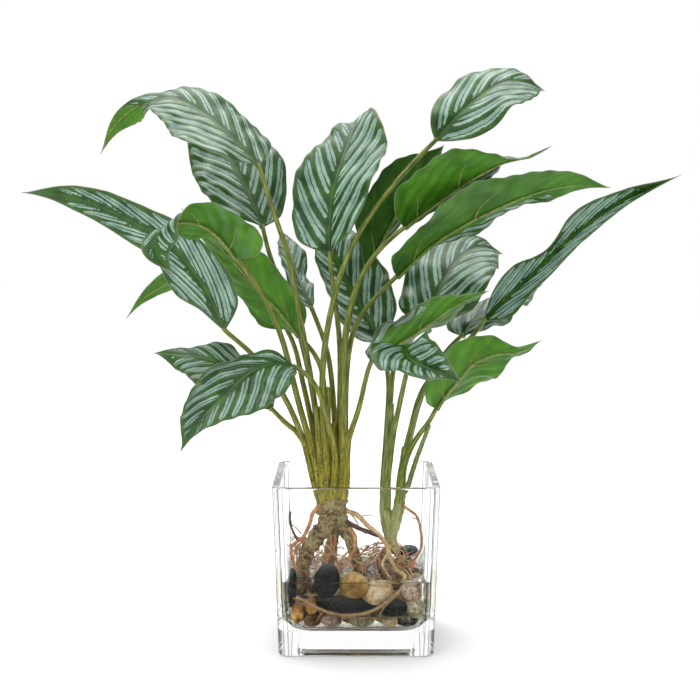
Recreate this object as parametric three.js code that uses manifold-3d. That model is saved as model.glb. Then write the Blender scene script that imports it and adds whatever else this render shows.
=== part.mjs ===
// A striped foliage plant standing in a clear glass cube vase, with its roots spread
// over river stones in clear water. Millimetres, +Z up. The origin is the middle of the
// vase's foot, +X runs to the right of the front and +Y to the back.

import * as THREE from 'three';
import { mergeVertices } from 'three/addons/utils/BufferGeometryUtils.js';
import Module from 'manifold-3d';

const wasm = await Module();
wasm.setup();

// Driving dimensions
const gap = 0.3;
const vase = {
  rimWidth: 125,
  footWidth: 116,
  height: 127,
  wall: 6,
  floor: 16,
  edgeRadius: 9,
  cavityRadius: 16,
  rimRound: 1.4,
  footRound: 1.2,
  recessWidth: 88,
  recessDepth: 3,
  recessRadius: 8,
};
const waterLevel = 53;
const bladeThickness = 0.9;
const bladeStations = 12;
const bladeStrips = 2;
const placeBias = 1.4;
const leastReach = 0.8;
const ripple = { height: 2.2, waves: 2.6, fullReach: 14 };
const stemSides = 6;
const rootSides = 5;
const stepLength = 18;
const tipClearance = 0.45;
const stoneClearance = 0.35;
const waterClearance = 0.8;
const tolerance = 0.1;
const waterTolerance = 0.4;
const stalkLeadIn = 7;

const colours = {
  glass: 0xf2f7f5,
  water: 0xe4ecdf,
  leaf: 0x2f6b45,
  underside: 0x4f8f2c,
  stem: 0x7f8f2f,
};

// Leaves. rib holds the midrib's points from the stalk to the tip, and face the way that the
// upper side looks at the base, the middle and the tip. left and right are the distances
// along the blade from the midrib to either margin at five places, the kth of them at
// (k / 6) ** placeBias of the length. fold and curl are the angles in degrees by which the
// left and the right half rise from the midrib and bend on towards the margin.
const leaves = [
  {
    name: 'leaf_upper_left_arch',
    rib: [[-73, 6, 363], [-97, 14, 387], [-117, 26, 404], [-144, 42, 417], [-171, 60, 412],
      [-193, 74, 398], [-207, 84, 375]],
    face: [[0.5, -0.6, 0.7], [-0.2, -0.6, 0.8], [0.1, -0.9, -0.4]],
    left: [32, 47, 37, 25, 11], right: [35, 34, 27, 18, 8],
    fold: [16, 0], curl: [-8, -22],
  },
  {
    name: 'leaf_upper_left_back',
    rib: [[-73, 42, 316], [-79, 47, 330], [-88, 58, 349], [-100, 72, 369], [-122, 98, 395],
      [-150, 122, 415]],
    face: [[0.6, -0.5, 0.5], [0.0, -0.8, 0.6], [0.1, -0.6, 0.8]],
    left: [24, 33, 35, 29, 16], right: [29, 37, 41, 34, 18],
    fold: [4, 4], curl: [-22, -20],
  },
  {
    name: 'leaf_long_left',
    rib: [[-98, -32, 240], [-113, -32, 272], [-138, -26, 304], [-162, -18, 318], [-193, -8, 332],
      [-225, 0, 341], [-255, 6, 343]],
    face: [[-0.1, -1.0, -0.1], [-0.5, -0.8, 0.4], [-0.1, -1.0, 0.2]],
    left: [9, 22, 17, 14, 9], right: [21, 26, 18, 14, 11],
    fold: [6, 20], curl: [-24, -6],
  },
  {
    name: 'leaf_front_left_curl',
    rib: [[-87, -54, 295], [-95, -67, 307], [-106, -84, 318], [-121, -100, 322], [-136, -113, 315],
      [-137, -118, 300], [-126, -116, 286]],
    face: [[0.4, 0.5, 0.8], [-0.4, 0.4, 0.8], [-0.2, -0.9, 0.2]],
    left: [27, 33, 27, 24, 17], right: [9, 21, 23, 22, 12],
    fold: [6, 14], curl: [-22, -12],
  },
  {
    name: 'leaf_left_underside',
    rib: [[-44, 15, 232], [-58, 14, 251], [-81, 9, 276], [-104, 3, 303], [-132, -7, 331]],
    face: [[0.3, 0.8, 0.5], [0.2, 0.8, 0.5], [0.1, 0.7, 0.6]],
    left: [16, 22, 24, 21, 12], right: [9, 18, 21, 18, 10],
    fold: [12, 12], curl: [-15, -15],
  },
  {
    name: 'leaf_low_left_back',
    rib: [[-54, 35, 236], [-74, 44, 258], [-96, 54, 273], [-125, 68, 280], [-154, 82, 270],
      [-175, 90, 257], [-190, 94, 240]],
    face: [[-0.4, 0.7, 0.6], [0.1, 0.7, 0.7], [-0.3, 0.8, 0.5]],
    left: [14, 20, 20, 15, 8], right: [13, 18, 18, 14, 7],
    fold: [10, 8], curl: [-19, -23],
  },
  {
    name: 'leaf_low_left_lance',
    rib: [[-64, -2, 177], [-80, 2, 193], [-99, 8, 208], [-124, 18, 216], [-159, 30, 218]],
    face: [[0.4, -0.7, 0.5], [0.1, -0.5, 0.9], [-0.2, -0.8, 0.6]],
    left: [8, 17, 25, 27, 14], right: [15, 20, 25, 30, 13],
    fold: [4, 4], curl: [-28, -28],
  },
  {
    name: 'leaf_front_low_left',
    rib: [[-46, -14, 212], [-63, -30, 215], [-79, -48, 210], [-94, -68, 197], [-109, -84, 183],
      [-125, -98, 159]],
    face: [[0.4, -0.3, 0.9], [0.1, -0.6, 0.8], [-0.6, -0.5, 0.6]],
    left: [16, 28, 33, 33, 16], right: [13, 18, 20, 26, 20],
    fold: [12, 12], curl: [-15, -19],
  },
  {
    name: 'leaf_centre_tall',
    rib: [[-20, -6, 296], [-20, -2, 316], [-18, 8, 341], [-13, 20, 362], [-6, 36, 382],
      [-1, 57, 397], [-2, 84, 401]],
    face: [[-0.7, -0.7, 0.1], [-0.4, -0.7, 0.7], [-0.6, -0.4, 0.7]],
    left: [24, 31, 30, 24, 13], right: [27, 40, 46, 42, 24],
    fold: [28, 17], curl: [0, -5],
  },
  {
    name: 'leaf_narrow_middle',
    rib: [[-34, 20, 253], [-41, 34, 266], [-48, 54, 280], [-55, 78, 297], [-63, 104, 313]],
    face: [[0.0, -0.7, 0.7], [0.7, -0.3, 0.7], [-0.3, -0.6, 0.8]],
    left: [8, 13, 17, 15, 8], right: [5, 9, 12, 15, 11],
    fold: [16, 14], curl: [-12, -16],
  },
  {
    name: 'leaf_back_middle',
    rib: [[19, 38, 226], [11, 45, 241], [-3, 58, 265], [-15, 74, 288], [-24, 93, 313],
      [-31, 116, 341]],
    face: [[-0.6, -0.8, 0.0], [-0.6, -0.7, 0.2], [-0.2, -0.8, 0.6]],
    left: [19, 25, 26, 21, 13], right: [25, 33, 32, 27, 15],
    fold: [4, 4], curl: [-30, -28],
  },
  {
    name: 'leaf_top_right',
    rib: [[59, -18, 381], [70, -14, 394], [87, -6, 410], [109, 4, 425], [128, 14, 427],
      [146, 24, 421]],
    face: [[0.2, -1.0, 0.1], [-0.1, -0.7, 0.7], [0.6, -0.5, 0.7]],
    left: [13, 21, 26, 29, 21], right: [13, 25, 34, 37, 28],
    fold: [3, 20], curl: [-28, -8],
  },
  {
    name: 'leaf_dark_right_back',
    rib: [[8, 36, 285], [16, 34, 299], [29, 29, 323], [43, 24, 348], [55, 15, 364], [67, 6, 379]],
    face: [[-0.8, 0.4, 0.5], [-0.5, 0.7, 0.6], [0.0, 0.7, 0.7]],
    left: [12, 22, 28, 26, 16], right: [14, 28, 33, 29, 19],
    fold: [22, 22], curl: [-5, -5],
  },
  {
    name: 'leaf_upper_right',
    rib: [[36, -22, 317], [47, -28, 326], [65, -40, 339], [85, -54, 353], [106, -66, 364],
      [123, -74, 367], [138, -80, 375]],
    face: [[-0.5, 0.4, 0.8], [-0.2, 0.5, 0.8], [-0.4, 0.1, 0.9]],
    left: [20, 20, 23, 22, 10], right: [27, 42, 45, 41, 16],
    fold: [20, 12], curl: [-8, -15],
  },
  {
    name: 'leaf_right_wavy',
    rib: [[31, 2, 279], [43, -2, 291], [60, -8, 306], [84, -16, 321], [108, -24, 333],
      [134, -32, 343], [161, -38, 348], [186, -42, 346]],
    face: [[-0.6, 0.4, 0.7], [-0.2, 0.6, 0.8], [0.2, 0.8, 0.5]],
    left: [12, 24, 26, 18, 11], right: [38, 44, 52, 44, 21],
    fold: [18, 3], curl: [-12, -25],
  },
  {
    name: 'leaf_middle_right',
    rib: [[52, 26, 239], [61, 34, 259], [72, 46, 278], [85, 60, 293], [102, 74, 300],
      [121, 86, 294]],
    face: [[-0.5, -0.7, 0.5], [-0.3, -0.6, 0.7], [0.5, -0.3, 0.8]],
    left: [25, 34, 37, 33, 21], right: [30, 41, 44, 39, 24],
    fold: [7, 12], curl: [-18, -11],
  },
  {
    name: 'leaf_middle_rolled',
    rib: [[11, -10, 216], [27, -16, 227], [44, -22, 238], [69, -34, 257], [83, -42, 265],
      [97, -48, 271]],
    face: [[-0.4, 0.4, 0.8], [-0.3, 0.5, 0.8], [-0.1, 0.6, 0.8]],
    left: [27, 38, 39, 32, 17], right: [25, 34, 35, 29, 16],
    fold: [20, 12], curl: [-6, -20],
  },
  {
    name: 'leaf_front_right',
    rib: [[37, -40, 230], [36, -56, 227], [39, -76, 223], [50, -96, 219], [61, -110, 216],
      [73, -120, 211]],
    face: [[-0.2, -0.2, 1.0], [-0.5, -0.4, 0.8], [-0.3, -0.6, 0.7]],
    left: [21, 29, 30, 25, 14], right: [19, 26, 27, 22, 12],
    fold: [26, 26], curl: [0, 0],
  },
  {
    name: 'leaf_back_right',
    rib: [[84, 34, 231], [92, 44, 241], [108, 58, 251], [130, 76, 260], [155, 96, 269]],
    face: [[-0.4, -0.5, 0.8], [-0.2, -0.2, 1.0], [-0.2, -0.2, 1.0]],
    left: [20, 26, 26, 21, 12], right: [20, 26, 26, 21, 12],
    fold: [6, 6], curl: [-26, -23],
  },
  {
    name: 'leaf_long_right',
    rib: [[98, 4, 245], [111, 8, 258], [127, 13, 272], [142, 18, 285], [157, 22, 299],
      [182, 28, 320], [214, 34, 340], [255, 40, 357]],
    face: [[0.2, -1.0, 0.1], [-0.1, -0.9, 0.3], [0.1, -1.0, 0.2]],
    left: [17, 21, 8, 17, 8], right: [17, 15, 16, 14, 8],
    fold: [38, 40], curl: [12, 14],
  },
  {
    name: 'leaf_low_right_underside',
    rib: [[61, -10, 179], [68, -16, 191], [78, -24, 204], [88, -32, 216], [103, -44, 224],
      [120, -54, 227], [134, -64, 236]],
    face: [[-0.6, 0.6, 0.6], [0.3, 0.8, 0.6], [-0.1, 0.6, 0.8]],
    left: [13, 25, 26, 21, 10], right: [19, 24, 23, 21, 12],
    fold: [20, 12], curl: [-8, -19],
  },
];

// Stalks of the large clump, from its crown up to each leaf, and its roots downwards.
// radii are the radii at the first and the last point.
const stalkRadii = [2.7, 1.7];
const mainStalks = [
  { leaf: 'leaf_upper_left_arch', points: [[-27, 6, 116], [-29, 7, 152], [-32, 8, 183],
    [-37, 5, 213], [-42, 0, 244], [-51, -7, 295], [-66, -2, 337]] },
  { leaf: 'leaf_upper_left_back', points: [[-25, 9, 116], [-29, 13, 159], [-39, 27, 213],
    [-53, 39, 260], [-67, 43, 288]] },
  { leaf: 'leaf_long_left', points: [[-32, -4, 118], [-39, -6, 151], [-44, -7, 164],
    [-55, -8, 189], [-71, -12, 212], [-82, -16, 225]] },
  { leaf: 'leaf_low_left_lance', points: [[-39, -6, 151], [-46, -6, 161], [-54, -4, 167]] },
  { leaf: 'leaf_front_left_curl', points: [[-28, -9, 119], [-32, -8, 143], [-40, -6, 168],
    [-46, -5, 191], [-52, -6, 217], [-58, -12, 239], [-71, -28, 270]] },
  { leaf: 'leaf_left_underside', points: [[-22, 1, 117], [-22, 2, 153], [-24, 3, 184],
    [-25, 6, 201], [-28, 10, 213], [-34, 13, 222]] },
  { leaf: 'leaf_low_left_back', points: [[-27, 1, 122], [-30, 3, 141], [-34, 6, 164],
    [-38, 10, 183], [-43, 18, 203], [-47, 28, 221]] },
  { leaf: 'leaf_front_low_left', points: [[-17, -11, 119], [-16, -14, 148], [-20, -16, 163],
    [-23, -17, 177], [-27, -17, 190], [-33, -16, 202]] },
  { leaf: 'leaf_centre_tall', points: [[-15, 2, 117], [-13, 1, 161], [-12, 0, 207],
    [-13, -1, 238], [-18, -4, 273]] },
  { leaf: 'leaf_narrow_middle', points: [[-17, 5, 116], [-16, 8, 153], [-17, 10, 173],
    [-18, 12, 190], [-20, 14, 209], [-23, 16, 225], [-29, 18, 240]] },
  { leaf: 'leaf_top_right', points: [[-23, -7, 119], [-24, -9, 155], [-26, -12, 186],
    [-26, -13, 210], [-24, -14, 229], [-20, -15, 250], [-12, -17, 283], [1, -19, 313],
    [15, -20, 332], [41, -19, 364]] },
  { leaf: 'leaf_dark_right_back', points: [[-12, 6, 116], [-11, 10, 152], [-10, 15, 182],
    [-9, 22, 220], [-5, 26, 247], [1, 32, 271]] },
  { leaf: 'leaf_upper_right', points: [[-12, -6, 118], [-11, -8, 154], [-10, -9, 194],
    [-9, -11, 232], [-7, -13, 249], [1, -16, 276], [15, -19, 299]] },
  { leaf: 'leaf_right_wavy', points: [[-9, -2, 118], [-8, -3, 185], [-7, -3, 210],
    [-3, -2, 238], [2, -1, 248], [15, 1, 264]] },
  { leaf: 'leaf_middle_rolled', points: [[-7, -3, 118], [-7, -5, 147], [-5, -6, 158],
    [-2, -7, 166], [3, -8, 181], [6, -9, 196]] },
];
const mainRoots = [
  { name: 'crown', points: [[-18, -1, 124], [-18, -1, 112], [-18, 0, 102], [-18, 0, 90]],
    radii: [12.5, 10] },
  { name: 'left leg', points: [[-19, -1, 95], [-25, -3, 85], [-32, -7, 77], [-38, -10, 67],
    [-41, -13, 56], [-41, -14, 44]], radii: [8, 4.5] },
  { name: 'right leg', points: [[-12, 0, 93], [-8, -1, 83], [-3, -2, 72], [1, -3, 58],
    [4, -4, 42]], radii: [5.5, 3] },
  { name: 'middle leg', points: [[-15, 3, 92], [-17, 5, 70], [-19, 6, 54], [-20, 6, 34]],
    radii: [3.6, 2] },
  { name: 'back leg', points: [[-17, 5, 93], [-19, 14, 74], [-24, 22, 54], [-26, 25, 36]],
    radii: [4.5, 2.2] },
  { name: 'left loop', points: [[-28, -8, 104], [-33, -11, 99], [-35, -13, 92], [-40, -17, 82],
    [-46, -20, 78], [-49, -23, 74], [-48, -25, 65], [-44, -26, 57]], radii: [1.7, 1.1] },
  { name: 'upright tip', points: [[-44, -19, 79], [-48, -18, 86], [-50, -17, 94], [-50, -16, 101]],
    radii: [1.0, 0.6] },
  { name: 'front root', points: [[-5, -5, 86], [-1, -9, 80], [-1, -13, 72], [-6, -17, 64],
    [-12, -21, 57], [-16, -25, 48]], radii: [1.9, 1.3] },
  { name: 'long root', points: [[-7, -4, 99], [1, -8, 97], [8, -11, 90], [16, -14, 84],
    [23, -18, 76], [26, -22, 67], [30, -27, 59], [36, -31, 56], [36, -35, 51], [32, -41, 46],
    [25, -48, 41], [16, -50, 35], [4, -50.5, 31], [-10, -50.5, 30], [-23, -50.5, 33],
    [-35, -50, 39], [-44, -48, 43]], radii: [1.9, 1.1] },
  { name: 'dark root', points: [[-10, -3, 92], [-1, -8, 88], [8, -12, 85], [17, -15, 82]],
    radii: [2.1, 1.5] },
  { name: 'drop root', points: [[25, -20, 71], [20, -24, 63], [22, -27, 58], [26, -29, 52]],
    radii: [1.2, 0.9] },
];

// Stalks and roots of the small clump
const sideStalks = [
  { leaf: 'leaf_back_middle', points: [[21, 11, 115], [23, 14, 143], [25, 20, 174],
    [26, 26, 193], [24, 32, 209]] },
  { leaf: 'leaf_middle_right', points: [[23, 9, 116], [25, 11, 152], [27, 14, 183],
    [28, 17, 199], [31, 20, 215], [41, 23, 229]] },
  { leaf: 'leaf_front_right', points: [[24, 4, 117], [27, 0, 144], [29, -4, 162], [32, -9, 176],
    [35, -16, 193], [38, -24, 208], [39, -32, 221]] },
  { leaf: 'leaf_long_right', points: [[33, 5, 116], [36, 3, 136], [39, 2, 148], [42, 1, 160],
    [46, 0, 178], [50, 0, 192], [61, 1, 206], [78, 2, 223], [92, 3, 235]] },
  { leaf: 'leaf_back_right', points: [[35, 10, 116], [39, 13, 139], [44, 17, 159], [50, 23, 181],
    [63, 29, 208], [77, 33, 226]] },
  { leaf: 'leaf_low_right_underside', points: [[36, 2, 126], [40, -1, 142], [45, -4, 153],
    [50, -6, 161], [55, -8, 167]] },
];
const sideRoots = [
  { name: 'second stem', points: [[37, 2, 112], [40, 0, 117], [44, -3, 131], [48, -6, 144],
    [52, -8, 155], [56, -8.5, 166]], radii: [2.2, 1.6] },
  { name: 'left trunk', points: [[23, 8, 118], [23, 8, 105], [23, 8, 95], [25, 7, 85],
    [27, 6, 76], [30, 5, 66]], radii: [4.0, 4.4] },
  { name: 'right trunk', points: [[35, 6, 118], [34, 6, 105], [32, 6, 94], [29, 6, 84],
    [27, 6, 76]], radii: [4.2, 4.6] },
  { name: 'right root', points: [[36, 3, 102], [42, -3, 99], [47, -9, 95], [50, -15, 82],
    [49, -19, 72], [45, -22, 66], [41, -24, 60]], radii: [1.2, 0.9] },
  { name: 'foot a', points: [[29, 6, 70], [33, 2, 62], [35, -2, 53], [33, -6, 42]],
    radii: [2.6, 1.4] },
  { name: 'foot b', points: [[27, 7, 71], [22, 12, 63], [18, 14, 54], [17, 16, 38]],
    radii: [2.4, 1.3] },
  { name: 'foot c', points: [[30, 7, 69], [33, 12, 60], [33, 17, 50], [31, 20, 38]],
    radii: [2.2, 1.3] },
];

// River stones: place, half length, half depth and half height, and the roll in degrees
// about the front-to-back axis. The first row lies along the front wall.
const stones = [
  { name: 'stone_tall_black', at: [-48.6, -38, 48], half: [4, 8, 13.8], roll: 3, colour: 0x1b1d1f },
  { name: 'stone_black_drop', at: [-22, -40.6, 54], half: [9.2, 7.5, 11.5], roll: 8, colour: 0x202326 },
  { name: 'stone_tan', at: [-1.5, -40, 50], half: [10.3, 8, 9.7], roll: -6, colour: 0x9a7a45 },
  { name: 'stone_flat_black', at: [-8, -41, 36.5], half: [23.5, 7, 6], roll: 4, colour: 0x17181a },
  { name: 'stone_cream', at: [16, -39.5, 44], half: [11.6, 7.5, 7.6], roll: -28, colour: 0xc9b48c },
  { name: 'stone_black_right', at: [28, -40.5, 33.5], half: [10.5, 7.5, 6.2], roll: -10, colour: 0x1a1b1d },
  { name: 'stone_pinkish', at: [41.5, -40, 46], half: [7.7, 7.5, 7], roll: 10, colour: 0x8f7565 },
  { name: 'stone_beige_grey', at: [44.5, -40, 33.5], half: [7.2, 7.5, 7.2], roll: -35, colour: 0x9c9377 },
  { name: 'stone_speckled', at: [38, -36, 22.8], half: [8.3, 7, 5.4], roll: 0, colour: 0x35342f },
  { name: 'stone_small_cream', at: [25.5, -39, 22.4], half: [5.8, 6, 4.6], roll: 0, colour: 0xb5a379 },
  { name: 'stone_grey_tan', at: [4, -37.5, 23.4], half: [9, 7.5, 6], roll: 0, colour: 0x85785f },
  { name: 'stone_brown_grey', at: [-18.5, -37.5, 23], half: [7.4, 7, 5.6], roll: 4, colour: 0x7c6a5c },
  { name: 'stone_amber', at: [-44, -34.5, 28], half: [5.6, 8, 8.5], roll: 6, colour: 0xb0762c },
  { name: 'stone_orange', at: [-33.5, -40.5, 35], half: [4.6, 6, 6], roll: -8, colour: 0xb9783a },
  { name: 'stone_dark_brown', at: [-33, -36, 23], half: [6.2, 7, 5.8], roll: 0, colour: 0x4a3b2a },
  { name: 'stone_blue_black', at: [41, 22, 61.5], half: [8, 7, 5.2], roll: -12, colour: 0x2b3442 },
  { name: 'stone_right_a', at: [40.6, -20, 25.4], half: [8, 9, 7], roll: 12, colour: 0x6f6553 },
  { name: 'stone_right_b', at: [40.6, 1, 25.2], half: [8.2, 11, 6.6], roll: 4, colour: 0x232527 },
  { name: 'stone_right_c', at: [40, 23.5, 25.8], half: [9, 11, 7.4], roll: 10, colour: 0x8b6b43 },
  { name: 'stone_right_d', at: [44.4, -12, 38.5], half: [7, 10, 6.2], roll: -8, colour: 0xa79a80 },
  { name: 'stone_right_e', at: [44.2, 9, 38.8], half: [7.5, 10, 6.6], roll: 6, colour: 0x7b5c3c },
  { name: 'stone_right_f', at: [42, 24, 45.5], half: [8.5, 10, 10.4], roll: 0, colour: 0x4c4a45 },
  { name: 'stone_left_a', at: [-41, -15, 25.4], half: [8, 10, 7], roll: -10, colour: 0x8a6a42 },
  { name: 'stone_left_b', at: [-40.4, 7, 25.9], half: [8.4, 11, 7.4], roll: -4, colour: 0x26282a },
  { name: 'stone_left_c', at: [-40.2, 28.5, 25.5], half: [9, 10, 7.2], roll: -8, colour: 0x9d8f74 },
  { name: 'stone_left_d', at: [-44.3, 15.5, 40.2], half: [7.4, 11, 7], roll: 8, colour: 0x7a5f3f },
  { name: 'stone_left_e', at: [-38.5, 38, 39.3], half: [10, 8, 7.6], roll: 0, colour: 0x2a2b2c },
  { name: 'stone_back_a', at: [-17, 42, 25.2], half: [12, 8, 7], roll: 5, colour: 0x6e5a45 },
  { name: 'stone_back_b', at: [7, 41, 25], half: [11, 8, 6.6], roll: -5, colour: 0xa08d6c },
  { name: 'stone_back_c', at: [27.5, 41, 29.5], half: [9, 8, 7], roll: 20, colour: 0x242628 },
  { name: 'stone_back_d', at: [-13.5, 43.2, 39.3], half: [11, 7.5, 6.8], roll: -6, colour: 0xb59f7a },
  { name: 'stone_back_e', at: [10, 43.2, 39.6], half: [12, 7.5, 7.4], roll: 4, colour: 0x5d554a },
];

const degree = Math.PI / 180;
const vector = (point) => new THREE.Vector3(...point);

// Closed bodies

function geometryOf(positions, index) {
  const geometry = new THREE.BufferGeometry();
  geometry.setAttribute('position', new THREE.Float32BufferAttribute(positions, 3));
  geometry.setIndex(index);
  return geometry;
}

function solidOf(geometry) {
  const bare = geometry.clone();
  bare.deleteAttribute('normal');
  bare.deleteAttribute('uv');
  const merged = mergeVertices(bare, 1e-4);
  const mesh = new wasm.Mesh({
    numProp: 3,
    vertProperties: new Float32Array(merged.attributes.position.array),
    triVerts: new Uint32Array(merged.index.array),
  });
  return new wasm.Manifold(mesh);
}

function geometryFrom(solid, deviation = tolerance) {
  const mesh = solid.simplify(deviation).getMesh();
  return geometryOf(Array.from(mesh.vertProperties), Array.from(mesh.triVerts));
}

function largestPiece(solid) {
  const pieces = solid.decompose();
  pieces.sort((a, b) => b.volume() - a.volume());
  return pieces[0];
}

// A skin over rings of equally many points, closed by a fan at both ends
function loft(rings) {
  const count = rings[0].length;
  const positions = [];
  const index = [];
  for (const ring of rings) {
    for (const point of ring) positions.push(point.x, point.y, point.z);
  }
  for (let i = 0; i + 1 < rings.length; i += 1) {
    for (let j = 0; j < count; j += 1) {
      const a = i * count + j;
      const b = i * count + ((j + 1) % count);
      index.push(a, b, b + count, a, b + count, a + count);
    }
  }
  const middles = [rings[0], rings[rings.length - 1]].map((ring) => {
    const middle = new THREE.Vector3();
    for (const point of ring) middle.addScaledVector(point, 1 / count);
    return middle;
  });
  const first = positions.length / 3;
  for (const middle of middles) positions.push(middle.x, middle.y, middle.z);
  const last = (rings.length - 1) * count;
  for (let j = 0; j < count; j += 1) {
    const next = (j + 1) % count;
    index.push(first, next, j);
    index.push(first + 1, last + j, last + next);
  }
  return geometryOf(positions, index);
}

// Glass

function squareRing(half, radius, z) {
  const ring = [];
  const cornerSteps = 4;
  const centres = [[1, 1], [-1, 1], [-1, -1], [1, -1]];
  centres.forEach(([sx, sy], corner) => {
    for (let k = 0; k <= cornerSteps; k += 1) {
      const angle = (corner + k / cornerSteps) * Math.PI / 2;
      const x = sx * (half - radius) + radius * Math.cos(angle);
      const y = sy * (half - radius) + radius * Math.sin(angle);
      ring.push(new THREE.Vector3(x, y, z));
    }
  });
  return ring;
}

function outerHalf(z) {
  return (vase.footWidth + (vase.rimWidth - vase.footWidth) * z / vase.height) / 2;
}

// Rings of the vase's inside from the level top down to its floor, inset by clear
function cavityRings(top, clear) {
  const rings = [];
  const springing = vase.floor + vase.cavityRadius;
  const cornerRadius = vase.edgeRadius - vase.wall / 2;
  for (const z of [top, (top + springing) / 2, springing]) {
    rings.push(squareRing(outerHalf(z) - vase.wall - clear, cornerRadius, z));
  }
  const arcSteps = 4;
  const reach = vase.cavityRadius - clear;
  for (let k = 1; k <= arcSteps; k += 1) {
    const angle = k / arcSteps * Math.PI / 2;
    const inset = reach * (1 - Math.cos(angle));
    const half = outerHalf(springing) - vase.wall - clear - inset;
    rings.push(squareRing(half, cornerRadius + inset * 0.4, springing - reach * Math.sin(angle)));
  }
  return rings;
}

function vaseGeometry() {
  const recess = vase.recessWidth / 2;
  const rings = [
    squareRing(recess - 1, vase.recessRadius - 1, vase.recessDepth),
    squareRing(recess, vase.recessRadius, 0),
    squareRing(outerHalf(0) - vase.footRound, vase.edgeRadius - 1, 0),
    squareRing(outerHalf(vase.footRound), vase.edgeRadius, vase.footRound),
  ];
  for (const z of [40, 80, vase.height - vase.rimRound]) {
    rings.push(squareRing(outerHalf(z), vase.edgeRadius, z));
  }
  const lip = outerHalf(vase.height);
  rings.push(squareRing(lip - 0.5 * vase.rimRound, vase.edgeRadius, vase.height - 0.3 * vase.rimRound));
  rings.push(squareRing(lip - 1.2 * vase.rimRound, vase.edgeRadius - 1, vase.height));
  rings.push(squareRing(lip - vase.wall + vase.rimRound, vase.edgeRadius - 2, vase.height));
  rings.push(...cavityRings(vase.height - vase.rimRound, 0));
  return loft(rings);
}

// Stalks and roots

function steps(curve) {
  return Math.max(3, Math.round(curve.getLength() / stepLength));
}

function tubeGeometry(points, radii, sides, swell = 0) {
  const curve = new THREE.CatmullRomCurve3(points.map(vector), false, 'catmullrom', 0.5);
  const count = steps(curve);
  const spine = curve.getSpacedPoints(count);
  const frames = curve.computeFrenetFrames(count, false);
  const rings = spine.map((centre, i) => {
    const radius = THREE.MathUtils.lerp(radii[0], radii[1], i / count) + swell;
    const ring = [];
    for (let j = 0; j < sides; j += 1) {
      const angle = j / sides * 2 * Math.PI;
      const point = centre.clone();
      point.addScaledVector(frames.normals[i], radius * Math.cos(angle));
      point.addScaledVector(frames.binormals[i], radius * Math.sin(angle));
      ring.push(point);
    }
    return ring;
  });
  return loft(rings);
}

// The stalk runs on in line with its leaf's midrib and stops just short of the blade
function stalkPoints(stalk) {
  const leaf = leaves.find((one) => one.name === stalk.leaf);
  const base = vector(leaf.rib[0]);
  const along = vector(leaf.rib[1]).sub(base).normalize();
  const end = base.clone().addScaledVector(along, -tipClearance);
  const before = base.clone().addScaledVector(along, -stalkLeadIn);
  return [...stalk.points, before.toArray(), end.toArray()];
}

function clump(stalks, roots, swell) {
  const parts = stalks.map((stalk) => tubeGeometry(stalkPoints(stalk), stalkRadii, stemSides, swell));
  for (const root of roots) {
    const sides = root.radii[0] > 3 ? 8 : rootSides;
    parts.push(tubeGeometry(root.points, root.radii, sides, swell));
  }
  return wasm.Manifold.union(parts.map(solidOf));
}

// Blades

function reachAt(distances, t) {
  const points = [0, ...distances, 0].map((distance, i) => new THREE.Vector2(i, distance));
  const curve = new THREE.SplineCurve(points);
  return Math.max(curve.getPoint(t ** (1 / placeBias)).y, leastReach);
}

function faceAt(leaf, t) {
  const place = t * (leaf.face.length - 1);
  const k = Math.min(Math.floor(place), leaf.face.length - 2);
  return vector(leaf.face[k]).lerp(vector(leaf.face[k + 1]), place - k);
}

function bladeGeometry(leaf, seed) {
  const curve = new THREE.CatmullRomCurve3(leaf.rib.map(vector), false, 'catmullrom', 0.5);
  const spine = curve.getSpacedPoints(bladeStations);
  const across = 2 * bladeStrips + 1;
  const upper = [];
  const lower = [];
  spine.forEach((centre, i) => {
    const t = i / bladeStations;
    const before = spine[Math.max(i - 1, 0)];
    const after = spine[Math.min(i + 1, bladeStations)];
    const along = after.clone().sub(before).normalize();
    const up = faceAt(leaf, t);
    up.addScaledVector(along, -up.dot(along)).normalize();
    const side = along.clone().cross(up);
    for (let j = -bladeStrips; j <= bladeStrips; j += 1) {
      const s = Math.abs(j) / bladeStrips;
      const hand = j < 0 ? 0 : 1;
      const fold = leaf.fold[hand] * degree;
      const curl = (leaf.curl[hand] || 0.01) * degree;
      const reach = reachAt(hand === 0 ? leaf.left : leaf.right, t);
      const out = (Math.sin(fold + curl * s) - Math.sin(fold)) / curl;
      const rise = (Math.cos(fold) - Math.cos(fold + curl * s)) / curl;
      const swing = ripple.height * s ** 1.5 * Math.min(1, reach / ripple.fullReach);
      const wave = swing * Math.sin(2 * Math.PI * ripple.waves * t + seed * 1.7 + hand * 0.9);
      const point = centre.clone();
      point.addScaledVector(side, Math.sign(j) * out * reach);
      point.addScaledVector(up, rise * reach + wave);
      upper.push(point.clone().addScaledVector(up, bladeThickness / 2));
      lower.push(point.clone().addScaledVector(up, -bladeThickness / 2));
    }
  });
  const positions = [...upper, ...lower].flatMap((point) => point.toArray());
  const under = upper.length;
  const index = [];
  for (let i = 0; i < bladeStations; i += 1) {
    for (let j = 0; j + 1 < across; j += 1) {
      const a = i * across + j;
      const b = a + 1;
      const c = b + across;
      const d = a + across;
      index.push(a, b, c, a, c, d);
      index.push(under + a, under + c, under + b, under + a, under + d, under + c);
    }
  }
  const wall = (from, to) => {
    index.push(from, under + to, to, from, under + from, under + to);
  };
  const last = bladeStations * across;
  for (let j = 0; j + 1 < across; j += 1) {
    wall(j, j + 1);
    wall(last + j + 1, last + j);
  }
  for (let i = 0; i < bladeStations; i += 1) {
    wall((i + 1) * across, i * across);
    wall(i * across + across - 1, (i + 1) * across + across - 1);
  }
  return geometryOf(positions, index);
}

// Stones: each is a rounded, slightly uneven pebble

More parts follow.
